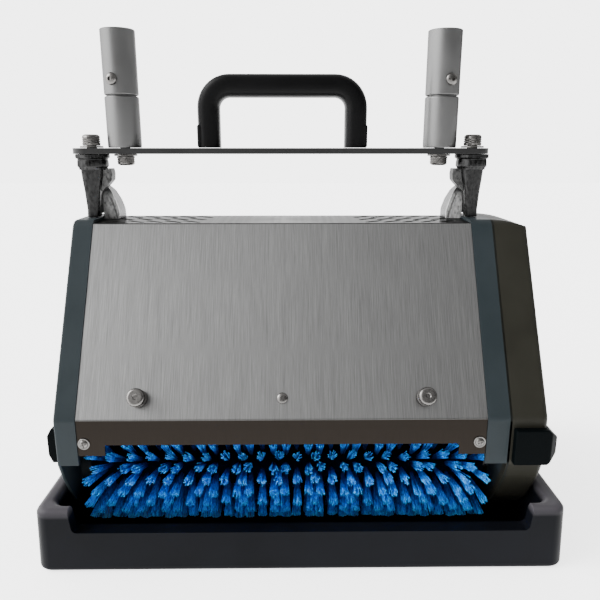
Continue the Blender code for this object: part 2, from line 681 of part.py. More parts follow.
# ---------------------------------------------------------------- handle frame
def pivot_ears():
    """Light alloy ears that stand on the deck and hold the arms' pins."""
    for side, hand in ((-1, "left"), (1, "right")):
        foot = DECK_Z + GAP
        outline = [
            (0.0055, foot), (0.036, foot), (0.033, 0.330), (0.026, 0.344),
            (0.019, 0.348), (0.011, 0.345), (0.007, 0.334),
        ]
        outline = rounded(outline, [0, 0, 0.006, 0.006, 0.004, 0.004, 0.006], 2)
        base_in = mirror_x(side * 0.174)
        base_out = mirror_x(side * 0.1890)
        x0, x1 = sorted((base_in, base_out))
        ear = profile_x(f"pivot_ear_{hand}", [outline], x0, x1, "grey_casting")
        wedge = [(0.1735, 0.3195), (0.1835, 0.349), (0.165, 0.36), (0.165, 0.3195)]
        wedge = [(MACHINE_X + side * rel, z) for rel, z in wedge]
        cut(ear, flat(f"ear_lean_{hand}", [wedge], 0.2, ALONG_Y, None))
        cut(ear, rod(f"ear_hole_{hand}", (PIVOT_Y, PIVOT_Z), PIVOT_PIN_R + GAP, x0 - 0.02, x1 + 0.02, None, 16))
        pin_in = mirror_x(side * 0.1775)
        pin_out = mirror_x(side * 0.2045)
        a, b = sorted((pin_in, pin_out))
        rod(f"pivot_pin_{hand}", (PIVOT_Y, PIVOT_Z), PIVOT_PIN_R, a, b, "steel", 16)


def arms():
    for side, hand in ((-1, "left"), (1, "right")):
        x = mirror_x(side * STEM_REL)
        head_x = mirror_x(side * 0.1945)
        stem = [
            (-0.0066, 0.3158), (0.0066, 0.3158), (0.0085, 0.335), (0.0150, 0.350), (0.0160, 0.353),
            (0.0160, 0.362), (0.0140, 0.3656), (-0.0140, 0.3656), (-0.0160, 0.362), (-0.0160, 0.353),
            (-0.0150, 0.350), (-0.0085, 0.335),
        ]
        lean = head_x - x
        front = [(x + dx + lean * min(1.0, max(0.0, (z - 0.3158) / 0.037)), z) for dx, z in stem]
        place = Matrix.Translation((0, STEM_Y + 0.001, 0)) @ ALONG_Y
        arm = flat(f"arm_{hand}", [front], 0.0175, place, "chrome")
        soften(arm, 0.002, 1, 40)
        collar = [
            (0, BAR_Z - GAP), (0.0170, BAR_Z - GAP), (0.0170, 0.3756), (0.0155, 0.3752), (0.0155, 0.3660),
            (0.0145, 0.3640), (0, 0.3640),
        ]
        up = Matrix.Translation((head_x, BAR_Y, 0))
        join(arm, turned(f"arm_collar_{hand}", collar, up, None, 16))
        x0, x1 = sorted((x - side * 0.0066, x + side * 0.0066))
        knuckle = [
            (-0.004, 0.3185), (PIVOT_Y, 0.3185), (0.0292, 0.325), (0.0295, 0.338),
            (0.021, 0.3442), (0.010, 0.3470), (-0.004, 0.348),
        ]
        join(arm, profile_x(f"arm_knuckle_{hand}", [knuckle], x0, x1, None))
        cut(arm, rod(f"arm_pin_hole_{hand}", (PIVOT_Y, PIVOT_Z), PIVOT_PIN_R + GAP, x0 - 0.01, x1 + 0.01, None, 16))
        swing = sorted((mirror_x(side * 0.170), mirror_x(side * 0.1903)))
        cut(arm, rod(f"ear_swing_{hand}", (PIVOT_Y, PIVOT_Z), EAR_REACH, swing[0], swing[1], None, 24))
        well = [(0, 0.40), (0.0054, 0.40), (0.0054, 0.362), (0, 0.362)]
        cut(arm, turned(f"arm_tap_{hand}", well, up, None, 12))


def cross_bar():
    left = mirror_x(-BAR_LEFT)
    right = mirror_x(BAR_RIGHT)
    half = BAR_DEPTH / 2
    corners = [(left, -half), (right, -half), (right, half), (left, half)]
    outline = rounded(corners, [half - 0.002] * 4, 4)
    holes = [circle(0.0056, 12, (mirror_x(rel), 0)) for rel in (-0.1945, 0.1945, -TUBE_REL, TUBE_REL)]
    place = Matrix.Translation((0, BAR_Y, BAR_Z + BAR_THICK / 2))
    flat("cross_bar", [outline] + holes, BAR_THICK, place, "bar_paint")


def bar_bolts():
    """Socket-head bolts with their washers, on the bar for the arms and below it for the tubes."""
    for side, hand in ((-1, "left"), (1, "right")):
        head = [
            (0, 0.0065), (0.0040, 0.0065), (0.0040, 0.0135), (0.0080, 0.0135), (0.0090, 0.0120),
            (0.0090, 0.0022), (0.0115, 0.0020), (0.0115, GAP), (0.0050, GAP), (0.0050, -0.0200), (0, -0.0200),
        ]
        top = Matrix.Translation((mirror_x(side * 0.1945), BAR_Y, BAR_TOP))
        turned(f"arm_bolt_{hand}", head, top, "steel", 12)
        under = Matrix.Translation((mirror_x(side * TUBE_REL), BAR_Y, BAR_Z)) @ Matrix.Rotation(math.pi, 4, "X")
        turned(f"tube_bolt_{hand}", [(r, h * 0.86 if h > GAP else h) for r, h in head], under, "steel", 12)


def tubes():
    for side, hand in ((-1, "left"), (1, "right")):
        place = Matrix.Translation((mirror_x(side * TUBE_REL), BAR_Y, 0))
        lower = [
            (0, 0.408), (0.0120, 0.408), (0.0120, 0.462), (0.0140, 0.462), (0.0140, JOINT_Z),
            (TUBE_R - 0.0006, JOINT_Z), (TUBE_R, JOINT_Z - 0.0012), (TUBE_R, BAR_TOP + GAP),
            (0.0054, BAR_TOP + GAP), (0.0054, 0.4040), (0, 0.4040),
        ]
        ferrule = turned(f"lower_tube_{hand}", lower, place, "grey_tube", 24)
        upper = [
            (0.0143, TUBE_TOP_Z), (TUBE_R, TUBE_TOP_Z), (TUBE_R, JOINT_Z + 0.0012),
            (TUBE_R - 0.0006, JOINT_Z + GAP), (0.0143, JOINT_Z + GAP),
        ]
        tube = turned(f"upper_tube_{hand}", upper, place, "grey_tube", 24)
        aim = place @ Matrix.Translation((0, 0, 0.4505)) @ Matrix.Rotation(side * math.radians(16), 4, "Z")
        aim = aim @ Matrix.Rotation(math.pi / 2, 4, "X")
        hole = [(0, 0.03), (0.0027, 0.03), (0.0027, 0), (0, 0)]
        for item in (ferrule, tube):
            cut(item, turned(f"screw_hole_{item.name}", hole, aim, None, 8))
        screw = [
            (0, 0.0208), (0.0028, 0.0203), (0.0055, 0.0184), (0.0060, 0.0172),
            (0.0024, 0.0172), (0.0024, 0.0100), (0, 0.0100),
        ]
        turned(f"tube_screw_{hand}", screw, aim, "steel", 12)


def carry_handle():
    outer = HANDLE_HALF
    inner = HANDLE_HALF - 0.0229
    foot = BAR_TOP + GAP
    under = HANDLE_TOP_Z - HANDLE_GRIP
    corners = [
        (-outer, foot), (-inner, foot), (-inner, under), (inner, under), (inner, foot), (outer, foot),
        (outer, HANDLE_TOP_Z), (-outer, HANDLE_TOP_Z),
    ]
    outline = rounded(corners, [0, 0, 0.014, 0.014, 0, 0, 0.030, 0.030], 5)
    place = Matrix.Translation((MACHINE_X, BAR_Y, 0)) @ ALONG_Y
    handle = flat("carry_handle", [outline], 0.026, place, "black_plastic")
    soften(handle, 0.006, 2, 40)


docking_tray()
end_castings()
drive_cover()
bumpers()
top_cover()
cover_fasteners()
chassis_inside()
brushes()
drive_train()
motor()
pivot_ears()
arms()
cross_bar()
bar_bolts()
tubes()
carry_handle()
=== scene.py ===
"""Looks of the twin-brush scrubbing machine in its docking tray, built round its CAD frame.

Metres, +X to the belt-cover side, -Y to the front, +Z up; the origin is on the ground under the tray.
"""

import math
import random

import bmesh
import bpy
from mathutils import Matrix, Vector


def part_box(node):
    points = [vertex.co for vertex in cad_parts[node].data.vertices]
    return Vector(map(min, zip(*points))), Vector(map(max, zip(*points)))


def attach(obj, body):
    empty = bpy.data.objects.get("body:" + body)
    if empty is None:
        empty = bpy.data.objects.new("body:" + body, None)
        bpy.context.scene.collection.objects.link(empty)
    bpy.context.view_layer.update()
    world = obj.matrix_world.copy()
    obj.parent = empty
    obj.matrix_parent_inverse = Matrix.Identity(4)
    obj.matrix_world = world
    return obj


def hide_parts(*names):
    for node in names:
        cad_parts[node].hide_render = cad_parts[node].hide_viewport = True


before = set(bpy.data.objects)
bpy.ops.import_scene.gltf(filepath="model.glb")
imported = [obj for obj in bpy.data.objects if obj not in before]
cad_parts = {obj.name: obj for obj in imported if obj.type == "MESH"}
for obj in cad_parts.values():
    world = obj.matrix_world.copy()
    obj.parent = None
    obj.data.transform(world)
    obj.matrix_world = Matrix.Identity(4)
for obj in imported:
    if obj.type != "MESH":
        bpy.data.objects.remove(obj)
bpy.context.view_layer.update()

# ---- sizes, from the frame
COVER_LOW, COVER_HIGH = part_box("top_cover")
TRAY_LOW, TRAY_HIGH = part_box("docking_tray")
LEFT_LOW, LEFT_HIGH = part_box("end_casting_left")
RIGHT_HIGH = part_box("end_casting_right")[1]
DRIVE_LOW, DRIVE_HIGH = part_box("drive_cover")
BAR_LOW, BAR_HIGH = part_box("cross_bar")
TUBE_LOW, TUBE_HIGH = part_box("upper_tube_left")
BRUSH_LOW, BRUSH_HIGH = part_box("bristles_front")
HANDLE_LOW, HANDLE_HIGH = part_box("carry_handle")

MACHINE_X = (COVER_LOW.x + COVER_HIGH.x) / 2
DECK_Z = COVER_HIGH.z
FOLD_Y = -COVER_LOW.y
TAB_Z = COVER_LOW.z
CROWN_Z = LEFT_HIGH.z
LEFT_X0 = LEFT_LOW.x
RIGHT_X1 = RIGHT_HIGH.x
BAR_TOP = BAR_HIGH.z
BAR_Y = (BAR_LOW.y + BAR_HIGH.y) / 2
TUBE_R = (TUBE_HIGH.x - TUBE_LOW.x) / 2
BRUSH_R = (BRUSH_HIGH.z - BRUSH_LOW.z) / 2
BRUSH_Y = (BRUSH_LOW.y + BRUSH_HIGH.y) / 2
BRUSH_Z = (BRUSH_LOW.z + BRUSH_HIGH.z) / 2

# Sizes inside the parts' boxes, in metres; "rel" is measured from the middle of the machine.
GAP = 0.0003  # clearance between neighbouring parts
DECK_HALF = 0.03565  # half the depth of the level deck
FOLD_Z = 0.1436  # fold between the sloping panel and its lip
LIP_Z = 0.1184  # lower edge of the lip
TAB_WIDTH = 0.025  # corner tabs that reach below the lip
SHEET = 0.0015  # thickness of the cover
FLANGE_Z = 0.098  # lower end of the castings' inward flange
CASTING_WALL = 0.0036
PROUD = 0.0010  # how far the castings stand out past the cover
SILL_Z = 0.041  # the tray's lowered front
SILL_HALF = 0.212
TUBE_REL = 0.1605  # handle tubes
ARM_BOLT_REL = 0.1945  # bolts that hold the arms to the bar
STEM_REL = 0.198  # knuckles of the arms
TAB_SCREW_REL = 0.184
TAB_SCREW_Z = 0.120
STUD_REL = 0.133
JOINT_Z = 0.4356  # seam between lower and upper tube
TUBE_SCREW_Z = 0.4505
PIVOT_Y = 0.018
PIVOT_Z = 0.331
PIN_HOLE_R = 0.0053  # holes for the pivot and idler pins
BOLT_HOLE_R = 0.0056
SLOPE = math.atan2(FOLD_Y - DECK_HALF, DECK_Z - FOLD_Z)
HANDS = ((-1, "left"), (1, "right"))
ENDS = ((-1, "front"), (1, "rear"))

ALONG_X = Matrix(((0, 0, 1, 0), (1, 0, 0, 0), (0, 1, 0, 0), (0, 0, 0, 1)))
ALONG_Y = Matrix(((1, 0, 0, 0), (0, 0, -1, 0), (0, 1, 0, 0), (0, 0, 0, 1)))

# ---- camera, floor and light
scene = bpy.context.scene
SWEEP = 5.8  # white sweep behind the machine
FLAG = 0.20  # dark flag at its right end
OVERHEAD = 1.6  # above the sweep
ROOM = 0.10  # dim room in front, below the ceiling
CEILING_LEFT = 1.75
CEILING_RIGHT = 0.37
SOFTBOX = 6.5  # wall of light on the left
KEY_POWER = 3.4
KEY_AIM = (1.0, 0.15, -0.8)


def make_camera():
    """A view from the front, looking down by about 14 degrees."""
    data = bpy.data.cameras.new("camera")
    data.lens = 36
    data.sensor_width = 36
    camera = bpy.data.objects.new("camera", data)
    camera.location = (-0.00695, -0.640, 0.3872)
    camera.rotation_euler = (math.radians(75.63), 0, math.radians(-0.65))
    scene.collection.objects.link(camera)
    scene.camera = camera


def make_studio():
    """A white sweep behind, a graded ceiling that is brighter on the left, and a dim room in front."""
    world = bpy.data.worlds.new("studio")
    scene.world = world
    world.use_nodes = True
    nodes, links = world.node_tree.nodes, world.node_tree.links
    nodes.clear()
    split = nodes.new("ShaderNodeSeparateXYZ")
    links.new(nodes.new("ShaderNodeTexCoord").outputs["Generated"], split.inputs[0])

    def grade(axis, start, end, low, high):
        node = nodes.new("ShaderNodeMapRange")
        node.interpolation_type = "SMOOTHSTEP"
        node.inputs["From Min"].default_value = start
        node.inputs["From Max"].default_value = end
        node.inputs["To Min"].default_value = low
        node.inputs["To Max"].default_value = high
        links.new(split.outputs[axis], node.inputs["Value"])
        return node.outputs["Result"]

    def blend(factor, first, second):
        node = nodes.new("ShaderNodeMix")
        node.data_type = "FLOAT"
        for socket, value in (("Factor", factor), ("A", first), ("B", second)):
            if isinstance(value, float):
                node.inputs[socket].default_value = value
            else:
                links.new(value, node.inputs[socket])
        return node.outputs["Result"]

    ceiling = grade("X", -0.75, 0.62, CEILING_LEFT, CEILING_RIGHT)
    front = blend(grade("Z", 0.02, 0.42, 0.0, 1.0), ROOM, ceiling)
    low_sweep = grade("X", 0.43, 0.62, SWEEP, FLAG)
    sweep = blend(grade("Z", 0.23, 0.34, 0.0, 1.0), low_sweep, OVERHEAD)
    room = blend(grade("Y", -0.30, 0.15, 0.0, 1.0), front, sweep)
    everywhere = blend(grade("X", -0.70, -0.50, 0.0, 1.0), SOFTBOX, room)
    back = nodes.new("ShaderNodeBackground")
    links.new(everywhere, back.inputs["Strength"])
    links.new(back.outputs[0], nodes.new("ShaderNodeOutputWorld").inputs[0])
    data = bpy.data.lights.new("key", "SUN")
    data.energy = KEY_POWER
    data.angle = math.radians(32)
    key = bpy.data.objects.new("key", data)
    key.rotation_euler = Vector(KEY_AIM).to_track_quat("-Z", "Y").to_euler()
    scene.collection.objects.link(key)


def make_floor():
    """A pale floor that glows towards the back, so that it meets the sweep without a seam."""
    shape = bmesh.new()
    bmesh.ops.create_grid(shape, x_segments=1, y_segments=1, size=6.0)
    mesh = bpy.data.meshes.new("studio_floor")
    shape.to_mesh(mesh)
    shape.free()
    floor = bpy.data.objects.new("studio_floor", mesh)
    scene.collection.objects.link(floor)
    material = bpy.data.materials.new("studio_floor")
    material.use_nodes = True
    shader = material.node_tree.nodes["Principled BSDF"]
    shader.inputs["Base Color"].default_value = (0.95, 0.95, 0.95, 1)
    shader.inputs["Roughness"].default_value = 0.9
    shader.inputs["Specular IOR Level"].default_value = 0.1
    shader.inputs["Emission Color"].default_value = (1, 1, 1, 1)
    nodes, links = material.node_tree.nodes, material.node_tree.links
    split = nodes.new("ShaderNodeSeparateXYZ")
    links.new(nodes.new("ShaderNodeTexCoord").outputs["Object"], split.inputs[0])
    glow = nodes.new("ShaderNodeMapRange")
    glow.interpolation_type = "SMOOTHSTEP"
    glow.inputs["From Min"].default_value = -0.80
    glow.inputs["From Max"].default_value = -0.20
    glow.inputs["To Max"].default_value = 2.6
    links.new(split.outputs["Y"], glow.inputs["Value"])
    links.new(glow.outputs["Result"], shader.inputs["Emission Strength"])
    mesh.materials.append(material)


# ---- materials
EDGE_TINT = (0.45, 0.45, 0.45, 1.0)  # metals reflect less than a mirror at grazing angles


class Look:
    """A Principled material with helpers for its nodes; coordinates are the piece's own, in metres."""

    def __init__(self, name, color, roughness, metallic=0.0, **sockets):
        self.material = bpy.data.materials.new(name)
        self.material.use_nodes = True
        self.nodes = self.material.node_tree.nodes
        self.links = self.material.node_tree.links
        self.shader = self.nodes["Principled BSDF"]
        self.color = color
        self.shader.inputs["Base Color"].default_value = (*color, 1)
        self.shader.inputs["Roughness"].default_value = roughness
        self.shader.inputs["Metallic"].default_value = metallic
        for socket, value in sockets.items():
            self.shader.inputs[socket.replace("_", " ")].default_value = value
        self.place = self.nodes.new("ShaderNodeTexCoord").outputs["Object"]
        self.normal = None

    def noise(self, scale, detail=3.0, stretch=(1, 1, 1), roughness=0.5):
        mapping = self.nodes.new("ShaderNodeMapping")
        mapping.inputs["Scale"].default_value = stretch
        self.links.new(self.place, mapping.inputs["Vector"])
        texture = self.nodes.new("ShaderNodeTexNoise")
        texture.inputs["Scale"].default_value = scale
        texture.inputs["Detail"].default_value = detail
        texture.inputs["Roughness"].default_value = roughness
        self.links.new(mapping.outputs["Vector"], texture.inputs["Vector"])
        return texture.outputs["Fac"]

    def ramp(self, value, stops):
        """Colours at places from 0 to 1."""
        node = self.nodes.new("ShaderNodeValToRGB")
        elements = node.color_ramp.elements
        while len(elements) < len(stops):
            elements.new(0.5)
        for element, (where, color) in zip(elements, stops):
            element.position = where
            element.color = (*color, 1)
        self.links.new(value, node.inputs["Fac"])
        return node.outputs["Color"]

    def range(self, value, low, high, start=0.0, end=1.0):
        node = self.nodes.new("ShaderNodeMapRange")
        node.inputs["From Min"].default_value = start
        node.inputs["From Max"].default_value = end
        node.inputs["To Min"].default_value = low
        node.inputs["To Max"].default_value = high
        self.links.new(value, node.inputs["Value"])
        return node.outputs["Result"]

    def shades(self, value, spread, start=0.35, end=0.65):
        """Base colour that varies by spread round the look's colour."""
        dark = tuple(c * (1 - spread) for c in self.color)
        light = tuple(min(1, c * (1 + spread)) for c in self.color)
        self.links.new(self.ramp(value, [(start, dark), (end, light)]), self.shader.inputs["Base Color"])

    def rough(self, value, low, high, start=0.3, end=0.7):
        self.links.new(self.range(value, low, high, start, end), self.shader.inputs["Roughness"])

    def paint(self, color):
        self.links.new(color, self.shader.inputs["Base Color"])

    def zones(self, axis, start, end, first, second):
        """Blend from one colour to another between two places along an axis."""
        split = self.nodes.new("ShaderNodeSeparateXYZ")
        self.links.new(self.place, split.inputs[0])
        mix = self.nodes.new("ShaderNodeMix")
        mix.data_type = "RGBA"
        self.links.new(self.range(split.outputs[axis], 0, 1, start, end), mix.inputs["Factor"])
        for socket, tone in (("A", first), ("B", second)):
            if isinstance(tone, tuple):
                mix.inputs[socket].default_value = (*tone, 1)
            else:
                self.links.new(tone, mix.inputs[socket])
        return mix.outputs["Result"]

    def bump(self, value, height, strength=1.0):
        node = self.nodes.new("ShaderNodeBump")
        node.inputs["Strength"].default_value = strength
        node.inputs["Distance"].default_value = height
        self.links.new(value, node.inputs["Height"])
        if self.normal:
            self.links.new(self.normal, node.inputs["Normal"])
        self.normal = node.outputs["Normal"]
        self.links.new(self.normal, self.shader.inputs["Normal"])


def brushed_sheet(name, color, low, high):
    """Stainless sheet with a fine grain up and down the panels; the lip below the fold (dark and brownish)
    and the level deck are painted darker than the panel, as painted shade for their dim reflections.
    """
    look = Look(name, color, 0.3, 1.0, Anisotropic=0.35, Specular_Tint=EDGE_TINT)
    grain = look.noise(1.0, 5.0, (3400, 30, 30), 0.7)
    broad = look.noise(1.0, 2.0, (260, 4, 4))
    blotch = look.noise(9, 3)
    dark = tuple(c * 0.60 for c in color)
    light = tuple(c * 1.42 for c in color)
    bright = look.ramp(grain, [(0.3, dark), (0.7, light)])
    # painted shade: the level deck gets a much darker stainless tone than the panel, for its dim reflection
    deck = look.ramp(grain, [(0.3, (0.058, 0.058, 0.057)), (0.7, (0.080, 0.080, 0.079))])
    # painted shade: the lip below the fold is painted dark and brownish for its dim reflection
    painted_dim_lip = look.ramp(grain, [(0.3, (0.0125, 0.0105, 0.0088)), (0.7, (0.0165, 0.0140, 0.0120))])
    panel = look.zones("Z", FOLD_Z - 0.0010, FOLD_Z + 0.0010, painted_dim_lip, bright)
    whole = look.zones("Z", DECK_Z - 0.0012, DECK_Z - 0.0002, panel, deck)
    look.paint(whole)
    look.rough(broad, low, high)
    look.bump(grain, 0.00003, 0.5)
    look.bump(blotch, 0.0005, 0.2)
    return look.material


def painted_metal(name, color, roughness, speckle=0.06, gloss=0.4, metallic=0.0):
    """Satin paint on a casting, with a faint orange peel."""
    look = Look(name, color, roughness, metallic, Specular_IOR_Level=gloss)
    if metallic:
        look.shader.inputs["Specular Tint"].default_value = EDGE_TINT
    peel = look.noise(620, 2)
    cloud = look.noise(26, 4)
    look.shades(cloud, speckle)
    look.rough(cloud, roughness - 0.06, roughness + 0.08)
    look.bump(peel, 0.00012, 0.35)
    return look.material


def moulded_plastic(name, color, roughness, grain=900, height=0.00012, gloss=0.4):
    """Black plastic with a moulded grain and faint handling marks."""
    look = Look(name, color, roughness, 0.0, Specular_IOR_Level=gloss)
    fine = look.noise(grain, 2)
    cloud = look.noise(14, 5)
    look.shades(cloud, 0.22)
    look.rough(cloud, roughness - 0.08, roughness + 0.10)
    look.bump(fine, height, 0.4)
    return look.material


def tray_plastic(name, color, rim):
    """The tray's black plastic, with a painted highlight that lightens it along its rims."""
    look = Look(name, color, 0.4, 0.0, Specular_IOR_Level=0.05)
    cloud = look.noise(14, 5)
    dark = tuple(c * 0.75 for c in color)
    light = tuple(c * 1.25 for c in color)
    body = look.ramp(cloud, [(0.35, dark), (0.65, light)])
    # painted highlight: the top of the rims is lightened towards the rim colour
    start, end = TRAY_HIGH.z - 0.0085, TRAY_HIGH.z - 0.0015
    look.paint(look.zones("Z", start, end, body, rim))
    look.rough(cloud, 0.34, 0.50)
    look.bump(look.noise(900, 2), 0.00012, 0.4)
    return look.material


def cast_metal(name, front, back, start, end, metallic=1.0):
    """A casting whose front, ahead of start, has another tone than what lies behind end."""
    look = Look(name, back, 0.3, metallic, Specular_Tint=EDGE_TINT)
    marks = look.noise(420, 3, (1, 1, 0.5))
    tones = []
    for tone in (front, back):
        dark = tuple(c * 0.6 for c in tone)
        light = tuple(c * 1.35 for c in tone)
        tones.append(look.ramp(marks, [(0.35, dark), (0.70, light)]))
    look.paint(look.zones("Y", start, end, *tones))
    look.rough(marks, 0.22, 0.42)
    look.bump(marks, 0.0006, 0.3)
    return look.material


def bright_metal(name, color, roughness):
    """Plated steel with small marks."""
    look = Look(name, color, roughness, 1.0, Specular_Tint=EDGE_TINT)
    marks = look.noise(420, 3)
    cloud = look.noise(60, 3)
    look.shades(cloud, 0.12)
    look.rough(marks, roughness * 0.7, roughness * 1.5)
    look.bump(marks, 0.00008, 0.3)
    return look.material


def filament(name):
    """Nylon filament, painted dark near the core as painted shade between the tufts, and painted lighter
    and slightly paler at the cut tips as a painted highlight.
    """
    look = Look(name, (0.01, 0.2, 0.55), 0.34, 0.0, Specular_IOR_Level=0.6)
    flat_place = look.nodes.new("ShaderNodeVectorMath")
    flat_place.operation = "MULTIPLY"
    flat_place.inputs[1].default_value = (0, 1, 1)
    look.links.new(look.place, flat_place.inputs[0])
    radius = look.nodes.new("ShaderNodeVectorMath")
    radius.operation = "LENGTH"
    look.links.new(flat_place.outputs["Vector"], radius.inputs[0])
    share = look.range(radius.outputs["Value"], 0, 1, 0.022, BRUSH_R)
    # by distance from the axis: painted shade near the core, a painted highlight at the tips
    stops = [
        (0.0, (0.002, 0.012, 0.07)), (0.45, (0.006, 0.10, 0.50)),
        (0.80, (0.014, 0.29, 1.0)), (0.96, (0.030, 0.42, 1.0)), (1.0, (0.08, 0.52, 1.0)),
    ]
    strands = look.noise(1.0, 2.0, (1300, 260, 260))
    mix = look.nodes.new("ShaderNodeMix")
    mix.data_type = "RGBA"
    mix.blend_type = "MULTIPLY"
    mix.inputs["Factor"].default_value = 1.0
    look.links.new(look.ramp(share, stops), mix.inputs["A"])
    shade = look.ramp(strands, [(0.36, (0.30, 0.34, 0.42)), (0.50, (1, 1, 1)), (0.66, (2.2, 1.8, 1.35))])
    look.links.new(shade, mix.inputs["B"])
    look.paint(mix.outputs["Result"])
    look.bump(strands, 0.0002, 0.3)
    return look.material


LOOKS = {
    "stainless": brushed_sheet("brushed_stainless", (0.30, 0.30, 0.298), 0.29, 0.33),
    "casting": painted_metal("casting_paint", (0.018, 0.024, 0.027), 0.50, 0.08, 0.10),
    "drive": painted_metal("drive_cover_paint", (0.0165, 0.0160, 0.0122), 0.50, 0.08, 0.10),
    # the last colour is the tray's painted rim highlight
    "tray": tray_plastic("tray_plastic", (0.0026, 0.0030, 0.0044), (0.052, 0.049, 0.055)),
    "handle": moulded_plastic("handle_plastic", (0.002, 0.002, 0.0022), 0.40, 1300, 0.0001, 0.10),
    "rubber": moulded_plastic("bumper_rubber", (0.0010, 0.0017, 0.0020), 0.50, 700, 0.0002, 0.02),
    # painted shade: the front of the arms' nose, ahead of y -0.0118, is painted darker than the chrome
    # behind it
    "chrome": cast_metal("chrome_casting", (0.033, 0.033, 0.033), (0.105, 0.105, 0.104), -0.0118, -0.0095),
    "steel": bright_metal("plated_steel", (0.145, 0.14, 0.135), 0.30),
    "ear": cast_metal("ear_alloy", (0.50, 0.50, 0.495), (0.07, 0.07, 0.07), 0.0050, 0.0070, 0.3),
    "bar": painted_metal("bar_paint", (0.018, 0.018, 0.018), 0.42, 0.06, 0.15),
    "tube": painted_metal("tube_paint", (0.150, 0.150, 0.149), 0.40, 0.04, 0.4, 0.9),
    "filament": filament("nylon_filament"),
    "core": moulded_plastic("core_plastic", (0.0004, 0.0016, 0.007), 0.7, gloss=0.02),
    "gear": moulded_plastic("gear_plastic", (0.60, 0.57, 0.48), 0.5),
    "motor": painted_metal("motor_paint", (0.03, 0.03, 0.033), 0.5),
}


# ---- shape helpers
def rounded(points, radii, steps=8):
    """An outline whose corners are arcs: one radius for each point, 0 for a sharp corner."""
    outline = []
    for index, point in enumerate(points):
        corner = Vector(point)
        back = (Vector(points[index - 1]) - corner).normalized()
        ahead = (Vector(points[(index + 1) % len(points)]) - corner).normalized()
        radius = radii[index]
        if radius == 0:
            outline.append(corner)
            continue
        half = back.angle(ahead) / 2
        centre = corner + (back + ahead).normalized() * radius / math.sin(half)
        start = corner + back * radius / math.tan(half) - centre
        end = corner + ahead * radius / math.tan(half) - centre
        sweep = start.angle_signed(end)
        for step in range(steps + 1):
            outline.append(centre + Matrix.Rotation(-sweep * step / steps, 2) @ start)
    return [tuple(point) for point in outline]


def inset(points, distance):
    """A counterclockwise outline moved inwards."""
    moved = []
    for index, point in enumerate(points):
        corner = Vector(point)
        back = (corner - Vector(points[index - 1])).normalized()
        ahead = (Vector(points[(index + 1) % len(points)]) - corner).normalized()
        side = (Vector((-back.y, back.x)) + Vector((-ahead.y, ahead.x))).normalized()
        scale = distance / max(0.3, side.dot(Vector((-ahead.y, ahead.x))))
        moved.append(tuple(corner + side * scale))
    return moved


def object_from(shape, name, matrix=None):
    """An object from a bmesh whose faces are turned to point outwards."""
    if shape.calc_volume(signed=True) < 0:
        bmesh.ops.reverse_faces(shape, faces=shape.faces)
    mesh = bpy.data.meshes.new(name)
    shape.to_mesh(mesh)
    shape.free()
    item = bpy.data.objects.new(name, mesh)
    scene.collection.objects.link(item)
    if matrix is not None:
        item.matrix_world = matrix
    return item


def at(x, y, z):
    return Matrix.Translation((x, y, z))


def turned(angle, axis):
    return Matrix.Rotation(angle, 4, axis)


def evaluated_mesh(item):
    """A copy of the mesh with the modifiers applied."""
    bpy.context.view_layer.update()
    graph = bpy.context.evaluated_depsgraph_get()
    return bpy.data.meshes.new_from_object(item.evaluated_get(graph))


def baked(item, angle=35):
    """Apply an object's modifiers and place, and shade it smooth with the large faces kept flat."""
    name = item.name
    mesh = evaluated_mesh(item)
    mesh.transform(item.matrix_world)
    bpy.data.objects.remove(item)
    mesh.shade_smooth()
    mesh.set_sharp_from_angle(angle=math.radians(angle))
    made = bpy.data.objects.new(name, mesh)
    scene.collection.objects.link(made)
    weights = made.modifiers.new("weights", "WEIGHTED_NORMAL")
    weights.keep_sharp = True
    weights.weight = 100
    weights.thresh = 0.05
    made.data = evaluated_mesh(made)
    made.modifiers.clear()
    made.data.name = name
    return made


def soften(item, width, segments=3, angle=30):
    """Round the edges that are sharper than angle."""
    bevel = item.modifiers.new("edges", "BEVEL")
    bevel.width = width
    bevel.segments = segments
    bevel.limit_method = "ANGLE"
    bevel.angle_limit = math.radians(angle)
    return item


def combine(item, other, operation="DIFFERENCE"):
    """Boolean with a helper that is then removed."""
    boolean = item.modifiers.new("boolean", "BOOLEAN")
    boolean.operation = operation
    boolean.solver = "EXACT"
    boolean.object = other
    mesh = evaluated_mesh(item)
    item.modifiers.clear()
    item.data = mesh
    bpy.data.objects.remove(other)
    return item


def loft(name, rings, closed=False, matrix=None):
    """A skin through rings of points; closed joins last to first, otherwise both ends are capped."""
    shape = bmesh.new()
    rows = [[shape.verts.new(point) for point in ring] for ring in rings]
    count = len(rows[0])
    pairs = list(zip(rows, rows[1:]))
    if closed:
        pairs.append((rows[-1], rows[0]))
    for near, far in pairs:
        for index in range(count):
            ahead = (index + 1) % count
            shape.faces.new((near[index], near[ahead], far[ahead], far[index]))
    if not closed:
        shape.faces.new(rows[0])
        shape.faces.new(rows[-1])
    bmesh.ops.recalc_face_normals(shape, faces=shape.faces)
    return object_from(shape, name, matrix)


def plate(name, outline, thickness, matrix=None):
    """A plate from an outline in its local XY, centred along its thickness."""
    half = thickness / 2
    return loft(name, [[(x, y, z) for x, y in outline] for z in (-half, half)], False, matrix)


def slab_x(name, outline, x0, x1, edge=0.0):
    """A slab between x0 and x1 with its outline in the YZ plane; edge rounds the x1 side."""
    rings = [(x0, 0.0)]
    turn = math.copysign(1, x1 - x0)
    steps = 5 if edge else 0
    for step in range(steps + 1):
        angle = math.pi / 2 * step / max(steps, 1)
        rings.append((x1 - turn * edge * (1 - math.sin(angle)), edge * (1 - math.cos(angle))))
    skins = []
    for x, depth in rings:
        skins.append([(x, y, z) for y, z in (inset(outline, depth) if depth else outline)])
    return loft(name, skins)


